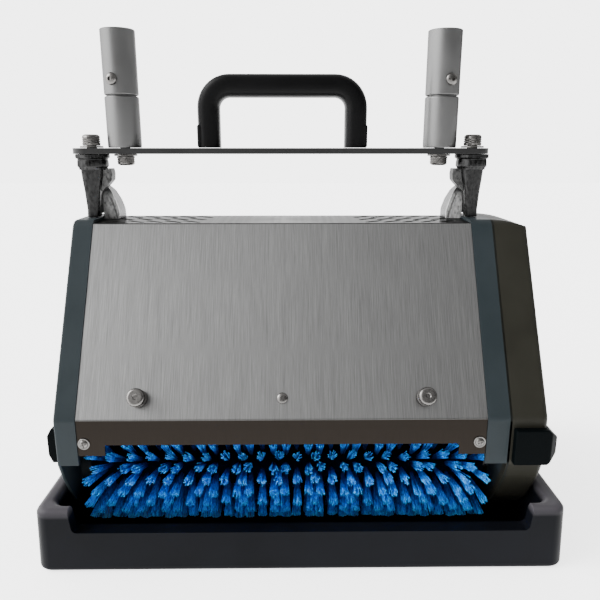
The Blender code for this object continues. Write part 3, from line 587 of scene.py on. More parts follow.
def box(name, low, high, bevel=0.0, segments=3):
    """A block between two corners, with rounded edges where bevel is given."""
    low, high = Vector(low), Vector(high)
    shape = bmesh.new()
    bmesh.ops.create_cube(shape, size=1.0)
    bmesh.ops.scale(shape, vec=high - low, verts=shape.verts)
    bmesh.ops.translate(shape, vec=(low + high) / 2, verts=shape.verts)
    if bevel:
        edges = {"offset": bevel, "segments": segments, "profile": 0.5, "affect": "EDGES"}
        bmesh.ops.bevel(shape, geom=shape.edges, **edges)
    return object_from(shape, name)


def lathe(name, profile, matrix, steps=48):
    """A turned solid: (radius, height) down its outer side, about the local Z axis."""
    rings = []
    shape = bmesh.new()
    for radius, height in profile:
        if radius == 0:
            rings.append([shape.verts.new((0, 0, height))])
            continue
        ring = []
        for step in range(steps):
            angle = 2 * math.pi * step / steps
            ring.append(shape.verts.new((radius * math.cos(angle), radius * math.sin(angle), height)))
        rings.append(ring)
    pairs = list(zip(rings, rings[1:]))
    if profile[0][0] > 0:
        pairs.append((rings[-1], rings[0]))
    for near, far in pairs:
        for step in range(steps):
            ahead = (step + 1) % steps
            corners = [near[step % len(near)], near[ahead % len(near)]]
            corners += [far[ahead % len(far)], far[step % len(far)]]
            face = list(dict.fromkeys(corners))
            if len(face) > 2:
                shape.faces.new(face)
    bmesh.ops.recalc_face_normals(shape, faces=shape.faces)
    return object_from(shape, name, matrix)


def rod(name, radius, top, bottom, matrix, steps=24):
    """A plain cylinder between two heights on the local Z axis."""
    return lathe(name, [(0, top), (radius, top), (radius, bottom), (0, bottom)], matrix, steps)


def wear(item, body, look, replaced=()):
    """Give a finished piece its material, its body and the nodes it stands for."""
    item.data.materials.clear()
    item.data.materials.append(LOOKS[look])
    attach(item, body)
    if replaced:
        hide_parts(*replaced)
    return item


def hexagon(radius):
    return [(radius * math.cos(math.pi / 3 * k), radius * math.sin(math.pi / 3 * k)) for k in range(6)]


def dome(radius, rise, base, steps):
    """The rounded top of a screw head, as a profile for lathe."""
    points = [(0, base + rise)]
    for step in range(1, steps + 1):
        angle = math.pi / 2 * step / steps
        points.append((radius * math.sin(angle), base + rise * math.cos(angle)))
    return points


# ---- docking tray
def footprint(half_x, half_y, radius, z, steps=10):
    corners = [(-half_x, -half_y), (half_x, -half_y), (half_x, half_y), (-half_x, half_y)]
    return [(x, y, z) for x, y in rounded(corners, [radius] * 4, steps)]


def docking_tray():
    """A moulded tray with rounded rims, a sloping-sided well and a low sill at the front."""
    half_x, half_y, top = TRAY_HIGH.x, TRAY_HIGH.y, TRAY_HIGH.z
    lean = 0.0015
    rings = []
    for step in range(8):
        angle = math.pi / 2 * step / 7
        back = 0.0050 * (1 - math.sin(angle))
        rings.append(footprint(half_x - back, half_y - back, 0.0130, 0.0050 * (1 - math.cos(angle))))
    for step in range(8):
        angle = math.pi / 2 * step / 7
        back = lean + 0.006 * (1 - math.cos(angle))
        z = top - 0.006 * (1 - math.sin(angle))
        rings.append(footprint(half_x - back, half_y - back, 0.0125 - 0.002 * step / 7, z))
    tray = loft("docking_tray_moulding", rings)
    well_x, well_y = half_x - lean - 0.0153, half_y - lean - 0.0128
    depths = (
        (0.0070, 0.0035), (0.0045, 0.0050), (0.0035, 0.0080), (0.0, top - 0.0055),
        (-0.0008, top - 0.0028), (-0.0026, top - 0.0009), (-0.0052, top + 0.0001), (-0.0090, 0.08),
    )
    combine(tray, loft("well", [footprint(well_x - d, well_y - d, 0.013, z, 6) for d, z in depths]))
    slant = SILL_HALF + 0.0055
    notch = [(-SILL_HALF, SILL_Z), (SILL_HALF, SILL_Z), (slant, 0.08), (-slant, 0.08)]
    place = at(0, TRAY_LOW.y + 0.003, 0) @ ALONG_Y
    combine(tray, plate("sill", rounded(notch, [0.005, 0.005, 0, 0]), 0.05, place))
    for x0, x1 in ((LEFT_X0 - 0.001, LEFT_X0 + 0.012), (RIGHT_X1, DRIVE_HIGH.x - 0.002)):
        combine(tray, box("pad", (x0, -0.068, 0.001), (x1, 0.068, LEFT_LOW.z - GAP), 0.0025, 2), "UNION")
    for y in (-0.132, 0.132):
        rib = box("floor_rib", (-0.19, y - 0.0015, 0.001), (0.17, y + 0.0015, 0.0062), 0.001, 2)
        combine(tray, rib, "UNION")
    soften(tray, 0.0030, 4, 40)
    wear(baked(tray, 50), "tray", "tray", ["docking_tray"])


# ---- castings and covers
def side_outline(depth=0.0, steps=6):
    """Outline of the machine's ends in the YZ plane."""
    lean = PROUD / math.cos(SLOPE)
    top_y = DECK_HALF + lean - (CROWN_Z - DECK_Z) * math.tan(SLOPE)
    front = FOLD_Y + PROUD
    half = [
        (-top_y, CROWN_Z), (-front, FOLD_Z), (-front, FLANGE_Z), (-0.126, 0.080),
        (-0.106, 0.046), (-0.092, 0.032), (-0.072, LEFT_LOW.z),
    ]
    outline = half + [(-y, z) for y, z in reversed(half)]
    if depth:
        outline = inset(outline, depth)
    radii = [max(0.012 - depth, 0.004), 0.010, 0.006, 0.010, 0.010, 0.008, 0.004]
    return rounded(outline, radii + radii[::-1], steps)


def end_casting(name, outer_x, inner_x, replaced):
    """A dished side casting: outer wall, inward flange that ends above the brushes, lugs and bosses."""
    toward = math.copysign(1, inner_x - outer_x)
    floor_x = outer_x + toward * CASTING_WALL
    shell = slab_x(name, side_outline(), inner_x, outer_x, 0.0022)
    inside = [point for point in inset(side_outline(), CASTING_WALL) if point[1] > FLANGE_Z + 0.004]
    down = inside[:len(inside) // 2]
    up = inside[len(inside) // 2:]
    end = math.copysign(0.2, down[-1][0])
    below = [
        (down[-1][0], FLANGE_Z), (end, FLANGE_Z), (end, -0.02),
        (-end, -0.02), (-end, FLANGE_Z), (up[0][0], FLANGE_Z),
    ]
    combine(shell, slab_x("hollow", down + below + up, inner_x + toward * 0.01, floor_x))
    for y in (BRUSH_Y, -BRUSH_Y):
        if toward > 0:
            boss = [
                (0, 0.0130), (0.0172, 0.0130), (0.0180, 0.0115),
                (0.0200, 0.0030), (0.0200, 0.0015), (0, 0.0015),
            ]
            place = at(outer_x, y, BRUSH_Z) @ ALONG_X
        else:
            boss = [(0, 0.0077), (0.0165, 0.0077), (0.0170, 0.0072), (0.0170, -0.0010), (0, -0.0010)]
            place = at(floor_x, y, BRUSH_Z) @ ALONG_X
        combine(shell, lathe("boss", boss, place, 32), "UNION")
        combine(shell, rod("seat", 0.0133, 0.05, -0.05 if toward < 0 else 0.0053, place, 28))
    for side in (-1, 1):
        near, far = side * (FOLD_Y - SHEET - GAP), side * (FOLD_Y - 0.0085)
        xs = sorted((inner_x - toward * 0.006, inner_x + toward * (TAB_WIDTH - 0.002)))
        lug = box("lug", (xs[0], min(near, far), TAB_Z + 0.001), (xs[1], max(near, far), FOLD_Z - 0.006))
        combine(shell, lug, "UNION")
    if toward < 0:
        for y in (-0.022, 0.022):
            axis = at(outer_x, y, BRUSH_Z) @ ALONG_X
            combine(shell, rod("pin_hole", PIN_HOLE_R, 0.03, -0.03, axis))
        axis = at(outer_x, 0, 0.214) @ ALONG_X
        combine(shell, rod("shaft_hole", 0.014, 0.03, -0.03, axis, 32))
    else:
        low = (outer_x + 0.001, -0.066, LEFT_LOW.z)
        foot = box("foot", low, (outer_x + 0.0115, 0.066, LEFT_LOW.z + 0.005))
        combine(shell, foot, "UNION")
    soften(shell, 0.0006, 2, 40)
    wear(baked(shell, 35), "chassis", "casting", [replaced])


def drive_cover():
    """The belt cover: a deep shell whose crown falls away outwards."""
    shell = slab_x("drive_cover_shell", side_outline(), DRIVE_LOW.x, DRIVE_HIGH.x, 0.006)
    reach = DRIVE_HIGH.x - DRIVE_LOW.x
    crown = []
    fall = 0.0078
    for step in range(13):
        share = step / 12
        crown.append((DRIVE_LOW.x - 0.001 + (reach + 0.004) * share, CROWN_Z - fall * share ** 1.9))
    crown += [(DRIVE_HIGH.x + 0.003, CROWN_Z + 0.03), (DRIVE_LOW.x - 0.001, CROWN_Z + 0.03)]
    combine(shell, plate("crown", crown, 0.3, ALONG_Y))
    inside = inset(side_outline(0.004), 0.0032)
    combine(shell, slab_x("pocket", inside, DRIVE_LOW.x - 0.01, DRIVE_HIGH.x - 0.0032, 0.003))
    soften(shell, 0.0012, 3, 30)
    wear(baked(shell, 32), "chassis", "drive", ["drive_cover"])


def bumpers():
    """Rubber blocks: two wrap the belt cover's corners, two sit flat on the left casting."""
    face = FOLD_Y + PROUD
    for side, end in ENDS:
        outer = DRIVE_HIGH.x + GAP
        near = DRIVE_LOW.x + 0.0037
        wrap = [
            (near, face + 0.008), (outer + 0.0005, face + 0.008), (outer + 0.0085, face + 0.0005),
            (outer + 0.0085, face - 0.034), (outer, face - 0.034), (outer, face + GAP), (near, face + GAP),
        ]
        wrap = rounded([(x, side * y) for x, y in wrap], [0.0015, 0.003, 0.003, 0.002, 0, 0, 0], 4)
        block = plate(f"bumper_block_{end}_right", wrap, 0.0348, at(0, 0, 0.1175))
        for z, tilt in ((0.1352, 1), (0.0998, -1)):
            chamfer = box("chamfer", (-0.014, -0.1, 0), (0.014, 0.1, 0.014))
            chamfer.matrix_world = (
                at(outer + 0.0085, side * face, z - tilt * 0.0095)
                @ turned(tilt * math.radians(42), "Y")
                @ at(0.0, 0, 0.0 if tilt > 0 else -0.014)
            )
            combine(block, chamfer)
        soften(block, 0.0011, 3, 25)
        wear(baked(block, 40), "chassis", "rubber", [f"bumper_{end}_right"])
        ys = sorted((side * (face - 0.004), side * (face - 0.044)))
        outline = rounded(
            [(0.0, 0.099), (0.0, 0.133), (-0.0045, 0.133), (-0.0084, 0.126),
             (-0.0084, 0.107), (-0.0050, 0.099)],
            [0, 0, 0.0015, 0.003, 0.003, 0.0015], 4,
        )
        place = at(LEFT_X0 - GAP, (ys[0] + ys[1]) / 2, 0) @ ALONG_Y
        block = plate(f"bumper_block_{end}_left", outline, ys[1] - ys[0] - 0.0002, place)
        soften(block, 0.0011, 3, 25)
        wear(baked(block, 40), "chassis", "rubber", [f"bumper_{end}_left"])


# ---- stainless cover and its fasteners
def cover_sheet():
    """The folded sheet with its bends, lip reliefs, slanted vents and screw holes."""
    half = [(-FOLD_Y, TAB_Z), (-FOLD_Y, FOLD_Z), (-DECK_HALF, DECK_Z)]
    corners = half + [(-y, z) for y, z in reversed(half)]
    path = rounded(corners, [0, 0.0028, 0.0028, 0.0028, 0.0028, 0], 6)
    inner = inset(path, -SHEET)
    inner[0] = (path[0][0] + SHEET, path[0][1])
    inner[-1] = (path[-1][0] - SHEET, path[-1][1])
    rings = []
    for skin, back in zip(path, inner):
        rings.append([(x, *point) for x, point in (
            (COVER_LOW.x, skin), (COVER_HIGH.x, skin), (COVER_HIGH.x, back), (COVER_LOW.x, back)
        )])
    sheet = loft("cover_sheet", rings)
    high = (COVER_HIGH.x - TAB_WIDTH, 0.2, LIP_Z)
    combine(sheet, box("relief", (COVER_LOW.x + TAB_WIDTH, -0.2, 0.09), high, 0.002, 4))
    slots = []
    corners = [(-0.012, -0.0027), (0.012, -0.0027), (0.012, 0.0027), (-0.012, 0.0027)]
    slot = rounded(corners, [0.00269] * 4, 4)
    for group in (-1, 1):
        for row in range(3):
            for column in range(5):
                x = group * (0.170 - 0.019 * column - 0.004 * row)
                place = at(MACHINE_X + x, 0.021 * (row - 1), DECK_Z)
                place = place @ turned(group * math.radians(38), "Z")
                slots.append(plate("slot", slot, 0.02, place))
    combine(sheet, joined(slots))
    for rel in (-STUD_REL, 0.0, STUD_REL):
        combine(sheet, rod("hole", 0.0034, 0.006, -0.006, panel_place(rel, -1)))
    for side in (-1, 1):
        for rel in (-TAB_SCREW_REL, TAB_SCREW_REL):
            spot = at(MACHINE_X + rel, side * FOLD_Y, TAB_SCREW_Z) @ ALONG_Y
            combine(sheet, rod("hole", 0.0026, 0.006, -0.006, spot, 20))
    soften(sheet, 0.00035, 2, 40)
    wear(baked(sheet, 30), "chassis", "stainless", ["top_cover"])


def joined(items):
    """One object from several that don't touch."""
    shape = bmesh.new()
    for item in items:
        mesh = item.data
        mesh.transform(item.matrix_world)
        shape.from_mesh(mesh)
        bpy.data.objects.remove(item)
    return object_from(shape, "joined")


def panel_place(rel, side, up=0.0195):
    """On the sloping panel, with local Z out of it; up is measured from the fold."""
    y = side * (FOLD_Y - up * math.sin(SLOPE))
    z = FOLD_Z + up * math.cos(SLOPE)
    lean = turned(-side * (math.pi / 2 - SLOPE), "X")
    return at(MACHINE_X + rel, y, z) @ lean


def arc_profile(centre, radius, start, end, steps):
    """Points of an arc in a turned profile; angles in degrees."""
    points = []
    for step in range(steps + 1):
        angle = math.radians(start + (end - start) * step / steps)
        points.append((centre[0] + radius * math.cos(angle), centre[1] + radius * math.sin(angle)))
    return points


def cover_fasteners():
    """Two turned studs and a screw on the front panel, and a cross-slotted screw on each corner tab."""
    for side, hand in HANDS:
        head = [(0, 0.0142), (0.0018, 0.0142), (0.0026, 0.0150)]
        head += arc_profile((0.0055, 0.0122), 0.0029, 88, 0, 8)
        head += [(0.0084, 0.0104)]
        head += arc_profile((0.0076, 0.0102), 0.0008, 0, -80, 3)
        head += [(0.0062, 0.0088), (0.0060, 0.0060), (0.0066, 0.0052), (0.0084, 0.0046), (0.0084, 0.0006)]
        head += [(0.0080, GAP), (0.0032, GAP), (0.0032, -0.008), (0, -0.008)]
        stud = lathe(f"stud_button_{hand}", head, panel_place(side * STUD_REL, -1), 56)
        wear(baked(stud, 32), "chassis", "steel", [f"cover_stud_{hand}"])
    head = dome(0.0052, 0.0024, 0.0010, 8)
    head += [(0.0052, GAP), (0.0030, GAP), (0.0030, -0.006), (0, -0.006)]
    place = panel_place(0, -1)
    screw = lathe("centre_screw", head, place, 40)
    combine(screw, plate("socket", hexagon(0.0019), 0.004, place @ at(0, 0, 0.0038)))
    wear(baked(soften(screw, 0.00015, 2, 40), 30), "chassis", "steel", ["cover_screw"])
    for side, end in ENDS:
        for across, hand in HANDS:
            turn = turned(-side * math.pi / 2, "X")
            spot = (MACHINE_X + across * TAB_SCREW_REL, side * FOLD_Y, TAB_SCREW_Z)
            place = Matrix.Translation(spot) @ turn
            washer = [(0.0026, 0.0010), (0.0054, 0.0010), (0.0056, 0.0008), (0.0056, GAP), (0.0026, GAP)]
            pan = dome(0.0043, 0.0019, 0.0011, 6)
            pan += [(0.0043, 0.0010), (0.0021, 0.0010), (0.0021, -0.009), (0, -0.009)]
            screw = lathe(f"pan_screw_{end}_{hand}", pan, place, 32)
            for turned_by in (0.3, 0.3 + math.pi / 2):
                cross = [(-0.0026, -0.0005), (0.0026, -0.0005), (0.0026, 0.0005), (-0.0026, 0.0005)]
                spin = at(0, 0, 0.0034) @ turned(turned_by, "Z")
                combine(screw, plate("slot", cross, 0.0032, place @ spin))
            ring = lathe("washer", washer, place, 32)
            both = joined([screw, ring])
            both.name = f"pan_screw_{end}_{hand}"
            wear(baked(both, 30), "chassis", "steel", [f"tab_screw_{end}_{hand}"])


# ---- brushes
TUFT_ROWS = 28
FACING_ROW = math.radians(-8.3)  # turns a row to face the front squarely
TUFT_PITCH = 0.0173  # along the core
CORE_R = 0.0225
FAN = 0.0047  # radius of a tuft's tip
FILAMENTS = 30
FILAMENT_R = 0.00044


def strand(shape, start, tip, radius):
    """One three-sided filament with a cut end."""
    along = (tip - start).normalized()
    side = along.orthogonal().normalized()
    other = along.cross(side)
    rings = []
    for point in (start, tip):
        ring = []
        for corner in range(3):
            angle = 2 * math.pi * corner / 3
            out = side * math.cos(angle) + other * math.sin(angle)
            ring.append(shape.verts.new(point + out * radius))
        rings.append(ring)
    near, far = rings
    for corner in range(3):
        ahead = (corner + 1) % 3
        shape.faces.new((near[corner], near[ahead], far[ahead], far[corner]))
    shape.faces.new(near[::-1])
    shape.faces.new(far)


def bristles(name, y, seed, body, replaced):
    """Tufts of filament round one core, in staggered rows; the end tufts splay outwards."""
    random.seed(seed)
    shape = bmesh.new()
    span = BRUSH_HIGH.x - BRUSH_LOW.x
    middle = (BRUSH_LOW.x + BRUSH_HIGH.x) / 2
    reach = span / 2 - 0.0150
    columns = int(2 * reach / TUFT_PITCH) + 1
    pitch = 2 * reach / (columns - 1)
    for row in range(TUFT_ROWS):
        angle = FACING_ROW + 2 * math.pi * row / TUFT_ROWS
        out = Vector((0, math.cos(angle), math.sin(angle)))
        around = Vector((0, -math.sin(angle), math.cos(angle)))
        for column in range(columns - row % 2):
            x = -reach + (column + 0.5 * (row % 2)) * pitch
            x += 0.0028 * (row % 2) * (1 if column % 2 else -1)
            splay = 0.0090 * math.copysign(abs(x / reach) ** 5, x)
            lean = Vector((splay + random.uniform(-0.0012, 0.0012), 0, 0))
            lean += around * random.uniform(-0.0015, 0.0015)
            trim = random.uniform(0.0006, 0.0014)
            for _ in range(FILAMENTS):
                turn = random.uniform(0, 2 * math.pi)
                share = math.sqrt(random.random())
                sideways = Vector((math.cos(turn), 0, 0)) + around * math.sin(turn)
                fan = sideways * (FAN * share) + lean
                length = BRUSH_R - trim - random.uniform(0.0, 0.0010) - 0.0009 * share * share
                tip = Vector((0, fan.y, fan.z)) + out * length
                tip = tip.normalized() * length + Vector((x + fan.x, 0, 0))
                start = Vector((x, 0, 0)) + out * CORE_R + sideways * 0.0019 * share
                strand(shape, start, tip, FILAMENT_R)
    item = object_from(shape, name, at(middle, y, BRUSH_Z))
    item.data.shade_smooth()
    item.data.set_sharp_from_angle(angle=math.radians(70))
    wear(item, body, "filament", [replaced])


# ---- handle frame
def squarish(angle, power):
    """A point of a unit outline between a circle, where power is 1, and a square, where it is 0."""
    c, s = math.cos(angle), math.sin(angle)
    return math.copysign(abs(c) ** power, c), math.copysign(abs(s) ** power, s)


def section(cx, cy, hx, hy, z, sides=32):
    """A rounded many-sided section of a casting."""
    points = []
    for side in range(sides):
        across, deep = squarish(2 * math.pi * (side + 0.5) / sides, 0.62)
        points.append((cx + hx * across, cy + hy * deep, z))
    return points


def arms():
    """Cast arms: a nose in front of an inward wing, a collar for the bar and a knuckle for the pin."""
    for side, hand in HANDS:
        stem_x = MACHINE_X + side * STEM_REL
        head_x = MACHINE_X + side * ARM_BOLT_REL
        column = []
        for z, rel, hx, hy in (
            (0.3160, 0.1974, 0.0060, 0.0072), (0.3166, 0.1974, 0.0064, 0.0078),
            (0.3231, 0.1966, 0.0067, 0.0080), (0.3436, 0.1960, 0.0087, 0.0088),
            (0.3540, 0.1955, 0.0104, 0.0096), (0.3620, 0.1952, 0.0113, 0.0102),
            (0.3660, 0.1950, 0.0115, 0.0104),
        ):
            column.append(section(MACHINE_X + side * rel, -0.0056, hx, hy, z))
        arm = loft(f"arm_casting_{hand}", column)
        wing = rounded(
            [(-0.0150, 0.3652), (-0.0152, 0.3585), (-0.0110, 0.3480), (-0.0020, 0.3400), (0.0050, 0.3430),
             (0.0096, 0.3475), (0.0152, 0.3535), (0.0158, 0.3600), (0.0150, 0.3652)],
            [0.001, 0.003, 0.004, 0.002, 0.003, 0.003, 0.004, 0.003, 0.001], 5,
        )
        place = at(MACHINE_X + side * 0.1908, -0.0030, 0) @ ALONG_Y
        wing = [(-side * x, z) for x, z in wing]
        combine(arm, plate("wing", wing, 0.0125, place), "UNION")
        bar = BAR_LOW.z - GAP
        collar = [
            (0, bar), (0.0165, bar), (0.0170, bar - 0.0005), (0.0170, 0.3762), (0.0164, 0.3754),
            (0.0152, 0.3748), (0.0150, 0.3738), (0.0154, 0.3728), (0.0156, 0.3680), (0.0150, 0.3668),
            (0.0142, 0.3660), (0.0138, 0.3640), (0, 0.3640),
        ]
        combine(arm, lathe("collar", collar, at(head_x, BAR_Y, 0), 48), "UNION")
        knuckle = rounded(
            [(-0.006, 0.3180), (PIVOT_Y, 0.3180), (0.0292, 0.3245), (0.0295, 0.3380), (0.0215, 0.3442),
             (0.010, 0.3470), (-0.006, 0.350)],
            [0, 0.004, 0.005, 0.005, 0.004, 0.006, 0], 4,
        )
        lug = slab_x("knuckle", knuckle, stem_x - 0.0062, stem_x + 0.0062)
        combine(arm, soften(lug, 0.0012, 3, 40), "UNION")
        axis = at(0, PIVOT_Y, PIVOT_Z) @ ALONG_X
        combine(arm, rod("pin", PIN_HOLE_R, stem_x + 0.03, stem_x - 0.03, axis, 28))
        xs = sorted((MACHINE_X + side * 0.170, MACHINE_X + side * 0.1912))
        combine(arm, rod("swing", 0.0200, xs[1], xs[0], axis, 48))
        combine(arm, rod("well", 0.0054, 0.40, 0.362, at(head_x, BAR_Y, 0)))
        soften(arm, 0.0005, 2, 35)
        wear(baked(arm, 38), "handle_frame", "chrome", [f"arm_{hand}"])


def pivot_ears():
    """Alloy ears that lean towards the arms, with a curved groove inside their rim."""
    for side, hand in HANDS:
        foot = DECK_Z + GAP
        outline = rounded(
            [(0.0032, foot), (0.030, foot), (0.0285, 0.330), (0.024, 0.343),
             (0.017, 0.3480), (0.009, 0.3475), (0.0042, 0.334)],
            [0, 0, 0.008, 0.008, 0.006, 0.003, 0.010], 6,
        )
        near, far = 0.1742, 0.1907
        xs = sorted((MACHINE_X + side * near, MACHINE_X + side * far))
        ear = slab_x(f"ear_casting_{hand}", outline, xs[0], xs[1])
        rim = [
            (near - 0.0010, 0.3150), (near + 0.0006, 0.3230), (near + 0.0034, 0.3320),
            (near + 0.0074, 0.3405), (near + 0.0132, 0.3480),
        ]
        lean = rim + [(near - 0.02, 0.36), (near - 0.02, 0.3150)]
        lean = [(MACHINE_X + side * rel, z) for rel, z in lean]
        combine(ear, plate("lean", lean, 0.2, ALONG_Y))
        groove = [(rel + 0.0026, z - 0.0012) for rel, z in rim[:-1]]
        groove += [(rel + 0.0013, z - 0.0016) for rel, z in groove[::-1]]
        groove = [(MACHINE_X + side * rel, z) for rel, z in groove]
        combine(ear, plate("groove", groove, 0.0200, at(0, -0.0042, 0) @ ALONG_Y))
        axis = at(0, PIVOT_Y, PIVOT_Z) @ ALONG_X
        ends = sorted((MACHINE_X + side * 0.1840, MACHINE_X + side * 0.2045))
        combine(ear, rod("pin", PIN_HOLE_R, ends[1], ends[0] - GAP, axis, 28))
        soften(ear, 0.0003, 2, 32)
        wear(baked(ear, 40), "chassis", "ear", [f"pivot_ear_{hand}"])
        pin = [
            (0, ends[1]), (0.0042, ends[1]), (0.0050, ends[1] - 0.0008), (0.0050, ends[0] + 0.0008),
            (0.0042, ends[0]), (0, ends[0]),
        ]
        pin = baked(lathe(f"pivot_rod_{hand}", pin, axis, 32), 35)
        wear(pin, "chassis", "steel", [f"pivot_pin_{hand}"])


def cross_bar():
    """A flat bar with rounded ends and its four bolt holes."""
    half = (BAR_HIGH.y - BAR_LOW.y) / 2
    left, right = BAR_LOW.x, BAR_HIGH.x
    outline = rounded([(left, -half), (right, -half), (right, half), (left, half)], [half - 0.002] * 4, 12)
    place = at(0, BAR_Y, (BAR_LOW.z + BAR_HIGH.z) / 2)
    bar = plate("cross_bar_plate", outline, BAR_HIGH.z - BAR_LOW.z, place)
    for rel in (-ARM_BOLT_REL, ARM_BOLT_REL, -TUBE_REL, TUBE_REL):
        place = at(MACHINE_X + rel, BAR_Y, 0)
        combine(bar, rod("hole", BOLT_HOLE_R, 0.5, 0.3, place, 28))
    soften(bar, 0.0006, 3, 40)
    wear(baked(bar, 35), "handle_frame", "bar", ["cross_bar"])


def socket_bolt(name, place, height, replaced):
    """A knurled socket-head bolt on its washer."""
    steps = 96
    rings = []
    knurl = 0.00022
    levels = [(0.0022, 0.0082, 0), (0.0026, 0.0088, 1)]
    for share in (0.30, 0.48, 0.66):
        z = 0.0022 + (height - 0.0022) * share
        levels += [(z - 0.0006, 0.0089, 1), (z - 0.0003, 0.0083, 0)]
        levels += [(z + 0.0003, 0.0083, 0), (z + 0.0006, 0.0089, 1)]
    levels += [(height - 0.0026, 0.0088, 0), (height - 0.0013, 0.0082, 0)]
    levels += [(height - 0.0004, 0.0070, 0), (height, 0.0056, 0)]
    for z, radius, rough in levels:
        ring = []
        for step in range(steps):
            angle = 2 * math.pi * step / steps
            here = radius - knurl * rough * (step % 2)
            ring.append((here * math.cos(angle), here * math.sin(angle), z))
        rings.append(ring)
    head = loft(name, rings, False, place)
    combine(head, plate("hex", hexagon(0.0040), 0.008, place @ at(0, 0, height)))
    shank = [(0, 0.003), (0.0050, 0.003), (0.0050, -0.0198), (0.0044, -0.0200), (0, -0.0200)]
    combine(head, lathe("shank", shank, place, 28), "UNION")
    washer = [
        (0.0054, 0.0020), (0.0112, 0.0020), (0.0115, 0.0017),
        (0.0115, 0.0006), (0.0112, GAP), (0.0054, GAP),
    ]
    both = joined([head, lathe("washer", washer, place, 48)])
    both.name = name
    wear(baked(both, 30), "handle_frame", "steel", [replaced])


def bar_bolts():
    """Bolts from above into the arms and from below into the tubes."""
    for side, hand in HANDS:
        top = at(MACHINE_X + side * ARM_BOLT_REL, BAR_Y, BAR_TOP)
        socket_bolt(f"arm_cap_bolt_{hand}", top, 0.0134, f"arm_bolt_{hand}")
        under = at(MACHINE_X + side * TUBE_REL, BAR_Y, BAR_LOW.z)
        under = under @ turned(math.pi, "X")
        socket_bolt(f"tube_cap_bolt_{hand}", under, 0.0114, f"tube_bolt_{hand}")


def tubes():
    """Lower and upper tube on each side, with the screw that joins them."""
    for side, hand in HANDS:
        place = at(MACHINE_X + side * TUBE_REL, BAR_Y, 0)
        aim = place @ at(0, 0, TUBE_SCREW_Z)
        aim = aim @ turned(side * math.radians(16), "Z") @ turned(math.pi / 2, "X")
        lower = [
            (0, 0.408), (0.0120, 0.408), (0.0120, 0.462), (0.0140, 0.462), (0.0140, JOINT_Z - 0.0004),
            (TUBE_R - 0.0012, JOINT_Z - 0.0004), (TUBE_R - 0.0003, JOINT_Z - 0.0010),
            (TUBE_R, JOINT_Z - 0.0020), (TUBE_R, BAR_TOP + 0.0016), (TUBE_R - 0.0006, BAR_TOP + GAP),
            (0.0054, BAR_TOP + GAP), (0.0054, 0.4040), (0, 0.4040),
        ]
        upper = [
            (0.0143, TUBE_HIGH.z - 0.0006), (0.0148, TUBE_HIGH.z), (TUBE_R - 0.0006, TUBE_HIGH.z),
            (TUBE_R, TUBE_HIGH.z - 0.0006), (TUBE_R, JOINT_Z + 0.0022), (TUBE_R - 0.0003, JOINT_Z + 0.0012),
            (TUBE_R - 0.0012, JOINT_Z + 0.0006), (0.0143, JOINT_Z + 0.0006),
        ]
        for name, profile in (("lower", lower), ("upper", upper)):
            tube = lathe(f"{name}_sleeve_{hand}", profile, place, 72)
            combine(tube, rod("hole", 0.0027, 0.03, 0, aim, 20))
            wear(baked(tube, 35), "handle_frame", "tube", [f"{name}_tube_{hand}"])
        head = dome(0.0059, 0.0035, 0.0172, 8)
        head += [(0.0056, 0.0168), (0.0024, 0.0168), (0.0024, 0.0100), (0, 0.0100)]
        screw = lathe(f"dome_screw_{hand}", head, aim, 40)
        combine(screw, plate("socket", hexagon(0.0020), 0.006, aim @ at(0, 0, 0.0216)))
        screw = baked(soften(screw, 0.00012, 2, 40), 30)
        wear(screw, "handle_frame", "steel", [f"tube_screw_{hand}"])


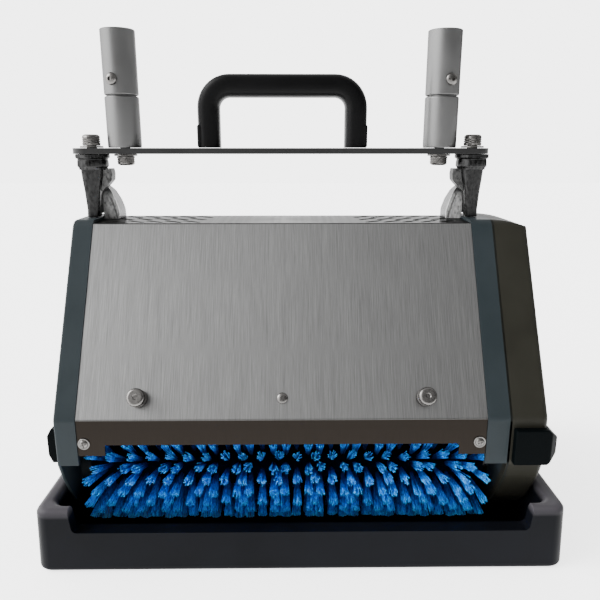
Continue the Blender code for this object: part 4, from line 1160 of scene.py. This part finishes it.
def carry_handle():
    """A black bridge handle with full round grip edges and proud covers over its feet."""
    outer = (HANDLE_HIGH.x - HANDLE_LOW.x) / 2
    middle = (HANDLE_HIGH.x + HANDLE_LOW.x) / 2
    foot, top = HANDLE_LOW.z, HANDLE_HIGH.z
    leg, beam = outer - 0.01145, top - 0.011
    path = rounded([(-leg, foot), (-leg, beam), (leg, beam), (leg, foot)], [0, 0.0215, 0.0215, 0], 12)
    rings = []
    count = len(path)
    for index, (x, z) in enumerate(path):
        back = Vector(path[max(index - 1, 0)])
        ahead = Vector(path[min(index + 1, count - 1)])
        along = (ahead - back).normalized()
        normal = Vector((-along.y, along.x))
        ring = []
        for step in range(32):
            across, deep = squarish(2 * math.pi * step / 32, 0.72)
            across *= 0.0112
            ring.append((middle + x + normal.x * across, BAR_Y + 0.0128 * deep, z + normal.y * across))
        rings.append(ring)
    handle = loft("carry_grip", rings)
    for side in (-1, 1):
        x0, x1 = sorted((middle + side * outer, middle + side * (outer - 0.0060)))
        cap = box("cap", (x0, BAR_Y - 0.0115, foot), (x1, BAR_Y + 0.0115, foot + 0.0225), 0.0022, 4)
        combine(handle, cap, "UNION")
    flat_foot = box("flat_foot", (middle - 0.2, -0.1, foot - 0.01), (middle + 0.2, 0.1, foot))
    combine(handle, flat_foot)
    soften(handle, 0.0004, 2, 40)
    wear(baked(handle, 38), "handle_frame", "handle", ["carry_handle"])


# ---- CAD nodes that keep their shape
def keep_nodes():
    """Materials for the drive parts inside, which keep the shapes they have in the frame."""
    kept = {
        "steel": [
            "tie_rod_front", "tie_rod_rear", "idler_pin_front", "idler_pin_rear", "driven_pulley",
            "motor_pulley", "motor_rotor", "motor_cradle", "brush_bearing_front_left",
            "brush_bearing_front_right", "brush_bearing_rear_left", "brush_bearing_rear_right",
        ],
        "core": ["brush_core_front", "brush_core_rear"],
        "gear": ["brush_gear_front", "brush_gear_rear", "idler_gear_front", "idler_gear_rear"],
        # the splash deck takes the dark motor paint as painted shade seen through the cover's vents
        "motor": ["motor_housing", "motor_end_bell", "motor_bearing_plate", "splash_deck"],
        "handle": ["cooling_fan"],
        "rubber": ["drive_belt"],
    }
    for look, names in kept.items():
        for name in names:
            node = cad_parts[name]
            node.data.materials.clear()
            node.data.materials.append(LOOKS[look])


make_camera()
make_studio()
make_floor()
docking_tray()
end_casting("casting_shell_left", LEFT_X0, COVER_LOW.x - GAP, "end_casting_left")
end_casting("casting_shell_right", RIGHT_X1, COVER_HIGH.x + GAP, "end_casting_right")
drive_cover()
bumpers()
cover_sheet()
cover_fasteners()
bristles("bristle_tufts_front", BRUSH_Y, 11, "brush_front", "bristles_front")
bristles("bristle_tufts_rear", -BRUSH_Y, 12, "brush_rear", "bristles_rear")
arms()
pivot_ears()
cross_bar()
bar_bolts()
tubes()
carry_handle()
keep_nodes()
